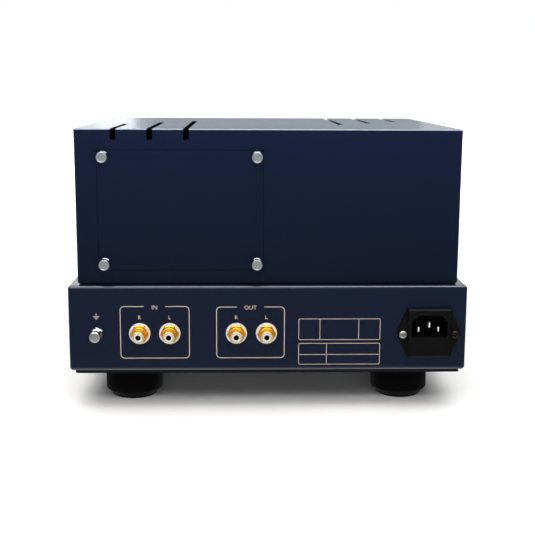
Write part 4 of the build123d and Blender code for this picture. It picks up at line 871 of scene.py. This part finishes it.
for body, node, at in (
    ("driver_left", "driver_tube_left", (-30.0, -105.0, 91.9)),
    ("driver_right", "driver_tube_right", (30.0, -105.0, 91.9)),
    ("phono_left", "phono_tube_left", (32.0, 142.0, 109.5)),
    ("phono_right", "phono_tube_right", (92.0, 142.0, 109.5)),
):
    bulb = turned([(8.4, 0.0), (9.9, 0.25), (10.7, 0.9), (11.0, 1.9), (11.0, 35.2),
                   *shoulder(35.2, 42.6, 11.0, 1.2), (1.3, 43.6), (0.9, 45.2), (0.2, 46.0)], 56)
    flash = turned([(10.6, 35.6), *shoulder(36.0, 42.1, 10.5, 1.0)], 56)
    stack = []
    for centre in (-3.6, 3.6):
        stack.append(slab(centre, 0, 2.6, 2.0, 7.6, 29.2, 0.7))
        stack += [slab(centre + shift, 0, 0.15, 3.3, 8.2, 28.6, 0.08) for shift in (-2.4, 2.4)]
        stack.append(place(turned([(0.3, 1.0), (0.3, 32.5)], 8), (centre * MM, 0, 0)))
    hoop = turned([(3.4, 34.6), (3.4, 35.0), (2.9, 35.0), (2.9, 34.6), (3.4, 34.6)], 28, bored=True)
    stack += [hoop, place(turned([(0.3, 30.5), (0.3, 34.8)], 8), (3.15 * MM, 0, 0))]
    metalwork = join(stack)
    tube(body, node, at, None, pins(9, 1, 5.95, 0.6, 6.5), metalwork, bulb, flash, (6.0, 30.0), 8.2)

# The sockets: glazed ceramic, with an eight-pin one under each rectifier and a nine-pin one under each small
# tube. Their flanges sit on the deck or on the phono board.
ceramic, wire, look = new_finish("ceramic")
glaze = wire.noise(500)
drive(wire.blend(glaze, (0.62, 0.60, 0.55, 1), (0.72, 0.70, 0.65, 1)), look["Base Color"])
drive(glaze * 0.1 + 0.2, look["Roughness"])
paint(ceramic, "octal_sockets", "noval_sockets")

# The mains transformer: a strip-steel ring wound with copper and lapped with yellow polyester tape, between
# two rubber rings. A dished steel disc and a bolt through its middle hold it to the deck.
RING_X, RING_Y = -68.0, 92.0
LAPS = 44
winding_tape, wire, look = new_finish("winding_tape", Specular_Ior_Level=0.5)
across = wire.axis("X") - RING_X * MM
along = wire.axis("Y") - RING_Y * MM
turn = wire.maths("ARCTAN2", across, along)
lap = wire.maths("FRACT", turn * (LAPS / (2 * pi)))
stain = wire.noise(120)
drive(wire.blend(lap * 0.6 + stain * 0.4, (0.50, 0.27, 0.02, 1), (0.72, 0.46, 0.06, 1)), look["Base Color"])
drive(stain * 0.1 + 0.28, look["Roughness"])
drive(wire.bump(lap, 0.5, 0.0003), look["Normal"])
# The ring's section is a rounded rectangle: four corners of 10 mm about these radii and heights.
EASE = 10
ring = []
for radius, height, start in ((48, 12, -90), (48, 48, 0), (26, 48, 90), (26, 12, 180)):
    for angle in range(start, start + 91, 15):
        ring.append((radius + EASE * cos(radians(angle)), height + EASE * sin(radians(angle))))
wound = place(turned([*ring, ring[0]], 96, bored=True), Vector((RING_X, RING_Y, 88.9)) * MM)
fit(wound, "taped_ring", "chassis", "winding_tape", winding_tape, "transformer_core")
paint(pad_rubber, "transformer_pads")

# The smoothing choke: varnished steel laminations round a coil of enamelled wire under brown paper tape. It
# stands on the deck between the transformer and the tubes.
LAMINATION = 0.0005
choke_steel, wire, look = new_finish("choke_steel", Metallic=0.8)
sheets = wire.maths("FRACT", wire.axis("Y") * (1 / LAMINATION))
varnish = wire.noise(160, 3.0)
drive(wire.blend(varnish, (0.035, 0.030, 0.028, 1), (0.085, 0.075, 0.068, 1)), look["Base Color"])
drive(varnish * 0.2 + 0.38, look["Roughness"])
drive(wire.bump(sheets, 0.6, 0.00015), look["Normal"])
core = brick((-95.0, -41.0), (-18.0, 10.0), (88.9, 133.9), 0.3)
for middle in (-81.5, -54.5):
    cut(core, brick((middle - 4.5, middle + 4.5), (-30.0, 20.0), (97.9, 124.9)))
fit(core, "laminations", "chassis", "choke_steel", choke_steel, "smoothing_choke")
paper_tape, wire, look = new_finish("paper_tape", Specular_Ior_Level=0.3)
fibres = wire.noise(900, 4.0)
drive(wire.blend(fibres, (0.20, 0.11, 0.045, 1), (0.32, 0.19, 0.085, 1)), look["Base Color"])
drive(fibres * 0.15 + 0.5, look["Roughness"])
drive(wire.bump(fibres, 0.3, 0.0001), look["Normal"])
coil = brick((-85.7, -50.3), (-26.0, 18.0), (98.2, 124.6), 2.5, 4)
cut(coil, brick((-77.0, -59.0), (-18.0, 10.0), (95.0, 130.0)))
fit(coil, "choke_coil", "chassis", "winding_tape", paper_tape)

# The circuit boards: green glass-epoxy with copper tracks under the mask. They carry film capacitors and
# resistors, whose wires are soldered below, and stand on nickel-plated hexagonal spacers.
TRACKS = 260.0
board_green, wire, look = new_finish("board_green", Specular_Ior_Level=0.5)
lane = abs(wire.maths("FRACT", wire.axis("X") * TRACKS) - 0.5) < 0.22
rung = abs(wire.maths("FRACT", wire.axis("Y") * TRACKS) - 0.5) < 0.22
patch = wire.noise(28, 0.0) > 0.5
tracks = patch * lane + (1.0 - patch) * rung
drive(wire.blend(tracks, (0.006, 0.055, 0.020, 1), (0.022, 0.130, 0.045, 1)), look["Base Color"])
drive(wire.noise(300) * 0.1 + 0.25, look["Roughness"])
drive(wire.bump(tracks, 0.4, 0.00004), look["Normal"])
paint(board_green, "circuit_boards")
film_red, wire, look = new_finish("film_red", Specular_Ior_Level=0.5)
resin = wire.noise(400)
drive(wire.blend(resin, (0.28, 0.022, 0.012, 1), (0.42, 0.045, 0.020, 1)), look["Base Color"])
drive(resin * 0.1 + 0.22, look["Roughness"])
BOARD_TOP = 106.5
spots = [(62.0, 122.0), (62.0, 134.0), (62.0, 146.0), (14.5, 124.0), (109.0, 124.0)]
boxes = [brick((x - 6, x + 6), (y - 3.2, y + 3.2), (BOARD_TOP, BOARD_TOP + 10), 0.7) for x, y in spots]
fit(join(boxes), "film_capacitors", "chassis", None, film_red)
ceramic_tan, wire, look = new_finish("ceramic_tan", Specular_Ior_Level=0.4)
lacquer = wire.noise(600)
bands = wire.maths("FRACT", wire.axis("Y") * 700.0) > 0.72
drive(wire.blend(bands, (0.55, 0.40, 0.24, 1), (0.10, 0.045, 0.020, 1)), look["Base Color"])
drive(lacquer * 0.1 + 0.3, look["Roughness"])
resistor = turned([(0.9, -3.2), (1.25, -2.9), (1.25, -2.0), (1.05, -1.7), (1.05, 1.7), (1.25, 2.0),
                   (1.25, 2.9), (0.9, 3.2)], 20)
LYING = BOARD_TOP + 1.4
rows = [(x, 162.0, LYING) for x in (50.0, 55.0, 60.0, 65.0, 70.0, 75.0, 110.0)]
rows += [(x, 120.0, LYING) for x in (30.0, 35.0, 40.0, 84.0, 89.0, 94.0)]
rows += [(x, 20.0, LYING) for x in (12.0, 17.0, 64.0, 116.0)]
fit(copies(resistor, rows, OUTWARD), "resistors", "chassis", None, ceramic_tan)

# The four filter capacitors on the supply board: aluminium cans in a black sleeve that is shrunk over their
# rims, with the bare pressed top showing in the middle.
can_sleeve, wire, look = new_finish("can_sleeve", Specular_Ior_Level=0.5)
shrink = wire.noise(150, 2.0)
drive(wire.blend(shrink, (0.006, 0.007, 0.010, 1), (0.012, 0.013, 0.018, 1)), look["Base Color"])
drive(shrink * 0.15 + 0.18, look["Roughness"])
CANS = [(x, y, BOARD_TOP) for x in (42.0, 86.0) for y in (-9.0, 41.0)]
can = turned([(15.6, 0), (17.2, 0.3), (17.5, 1.2), (17.5, 4.0), (16.9, 4.8), (16.9, 5.6), (17.5, 6.4),
              (17.5, 48.6), (17.2, 49.6), (16.4, 50), (14.6, 50), (14.2, 49.7)], 64)
fit(copies(can, CANS), "can_sleeves", "chassis", "can_black", can_sleeve, "filter_capacitors")
lid = turned([(14.0, 49.2), (14.0, 49.75), (13.2, 49.9), (2.0, 49.9)], 64)
for across, along in ((12.5, 0.35), (0.35, 12.5)):
    cut(lid, brick((-across, across), (-along, along), (49.6, 51)))
fit(copies(lid, CANS), "can_tops", "chassis", "can_black", nickel_plate)

# The studio. A pale matt floor fades to white well away from the object. Glossy pieces don't mirror it: they
# see a banded sky, bright low down and dim at the camera's height. The camera looks down a little on the rear.
scene.view_settings.view_transform = "Standard"
bpy.ops.object.select_all(action="DESELECT")
bpy.ops.mesh.primitive_plane_add(size=60, location=(0, 0, -0.0001))
floor = bpy.context.object
floor.name = "studio_floor"
floor.visible_glossy = False
floor_white, wire, look = new_finish("floor_white", Base_Color=(0.93, 0.92, 0.91, 1), Roughness=0.9,
                                     Specular_Ior_Level=0.0, Emission_Color=(1, 1, 1, 1))
here = wire.add("TexCoord", {}, {}, "Object")
away = wire.add("VectorMath", {"operation": "LENGTH"}, {0: here}, "Value")
fade = {"Value": away, "From Min": 0.5, "From Max": 1.6}
drive(wire.add("MapRange", {"interpolation_type": "SMOOTHSTEP"}, fade), look["Emission Strength"])
floor.data.materials.append(floor_white)

# How bright the sky is by height, from straight down at 0 to straight up at 1. The camera itself sees white.
GREYS = ((0.0, 1.7), (0.08, 1.7), (0.14, 0.95), (0.28, 0.95), (0.335, 0.10), (0.60, 0.10), (0.75, 0.16))
world = bpy.data.worlds.new("overcast")
world.use_nodes = True
scene.world = world
sky = Wire(world.node_tree)
heading = sky.add("TexCoord", {}, {}, "Generated")
upward = sky.add("SeparateXYZ", {}, {0: heading}, "Z")
height = sky.add("MapRange", {}, {"Value": upward, "From Min": -1.0})
stops = [(spot, (grey * 0.95, grey * 0.97, grey)) for spot, grey in GREYS]
dim = sky.add("Background", {}, {"Color": sky.add("ValToRGB", {"stops": stops}, {"Fac": height})})
white = world.node_tree.nodes["Background"]
white.inputs["Color"].default_value = (1, 1, 1, 1)
by_camera = sky.add("LightPath", {}, {}, "Is Camera Ray")
either = sky.add("MixShader", {}, {0: by_camera, 1: dim, 2: Wire(world.node_tree, white.outputs[0])})
drive(either, world.node_tree.nodes["World Output"].inputs["Surface"])


def soft_light(name, at, towards, width, height, power, shade=(1, 1, 1)):
    """A rectangular studio light that isn't itself seen."""
    lamp = bpy.data.lights.new(name, "AREA")
    lamp.shape = "RECTANGLE"
    lamp.size = width
    lamp.size_y = height
    lamp.energy = power
    lamp.color = shade
    light = bpy.data.objects.new(name, lamp)
    scene.collection.objects.link(light)
    light.location = at
    light.rotation_euler = (Vector(towards) - Vector(at)).to_track_quat("-Z", "Y").to_euler()
    light.visible_camera = False
    return light


# An overhead light, a key behind the camera and two fills. The strip only lights the gloss along the folds, and
# the three lights beyond the front are what the cover's top mirrors to the camera.
soft_light("overhead", (0, -0.1, 1.6), (0, 0.1, 0), 2.6, 2.6, 61)
soft_light("rear_key", (0.2, 1.5, 1.15), (0, 0.18, 0.12), 0.9, 0.7, 7.0)
low_fill = soft_light("low_rear", (0, 2.4, 0.5), (0, 0.1, 0.0), 2.4, 0.5, 9.5)
low_fill.visible_glossy = False
strip = soft_light("gloss_strip", (0, 0.3, 1.5), (0, 0.2, 0), 2.6, 0.7, 46.0)
strip.visible_diffuse = False
high_fill = soft_light("high_rear", (0, 0.62, 0.47), (0, 0.18, 0.19), 0.5, 0.12, 0.9)
high_fill.visible_glossy = False
soft_light("beyond_middle", (-0.05, -3.2, 0.6), (0, 0, 0.19), 1.3, 1.2, 3.2, (0.84, 0.92, 1))
soft_light("beyond_left", (1.17, -3.2, 0.6), (0.1, 0, 0.19), 1.5, 1.2, 9.5, (0.95, 0.97, 1))
soft_light("beyond_right", (-1.45, -3.2, 0.6), (-0.1, 0, 0.19), 1.5, 1.2, 6.2, (0.92, 0.96, 1))

camera_data = bpy.data.cameras.new("camera")
camera_data.lens = 67.14
camera_data.sensor_width = 36
camera_data.clip_start = 0.01
camera = bpy.data.objects.new("camera", camera_data)
scene.collection.objects.link(camera)
camera.location = (0.0206, 0.8706, 0.22713)
camera.rotation_euler = (1.3894, -0.00438, 3.1136)
scene.camera = camera
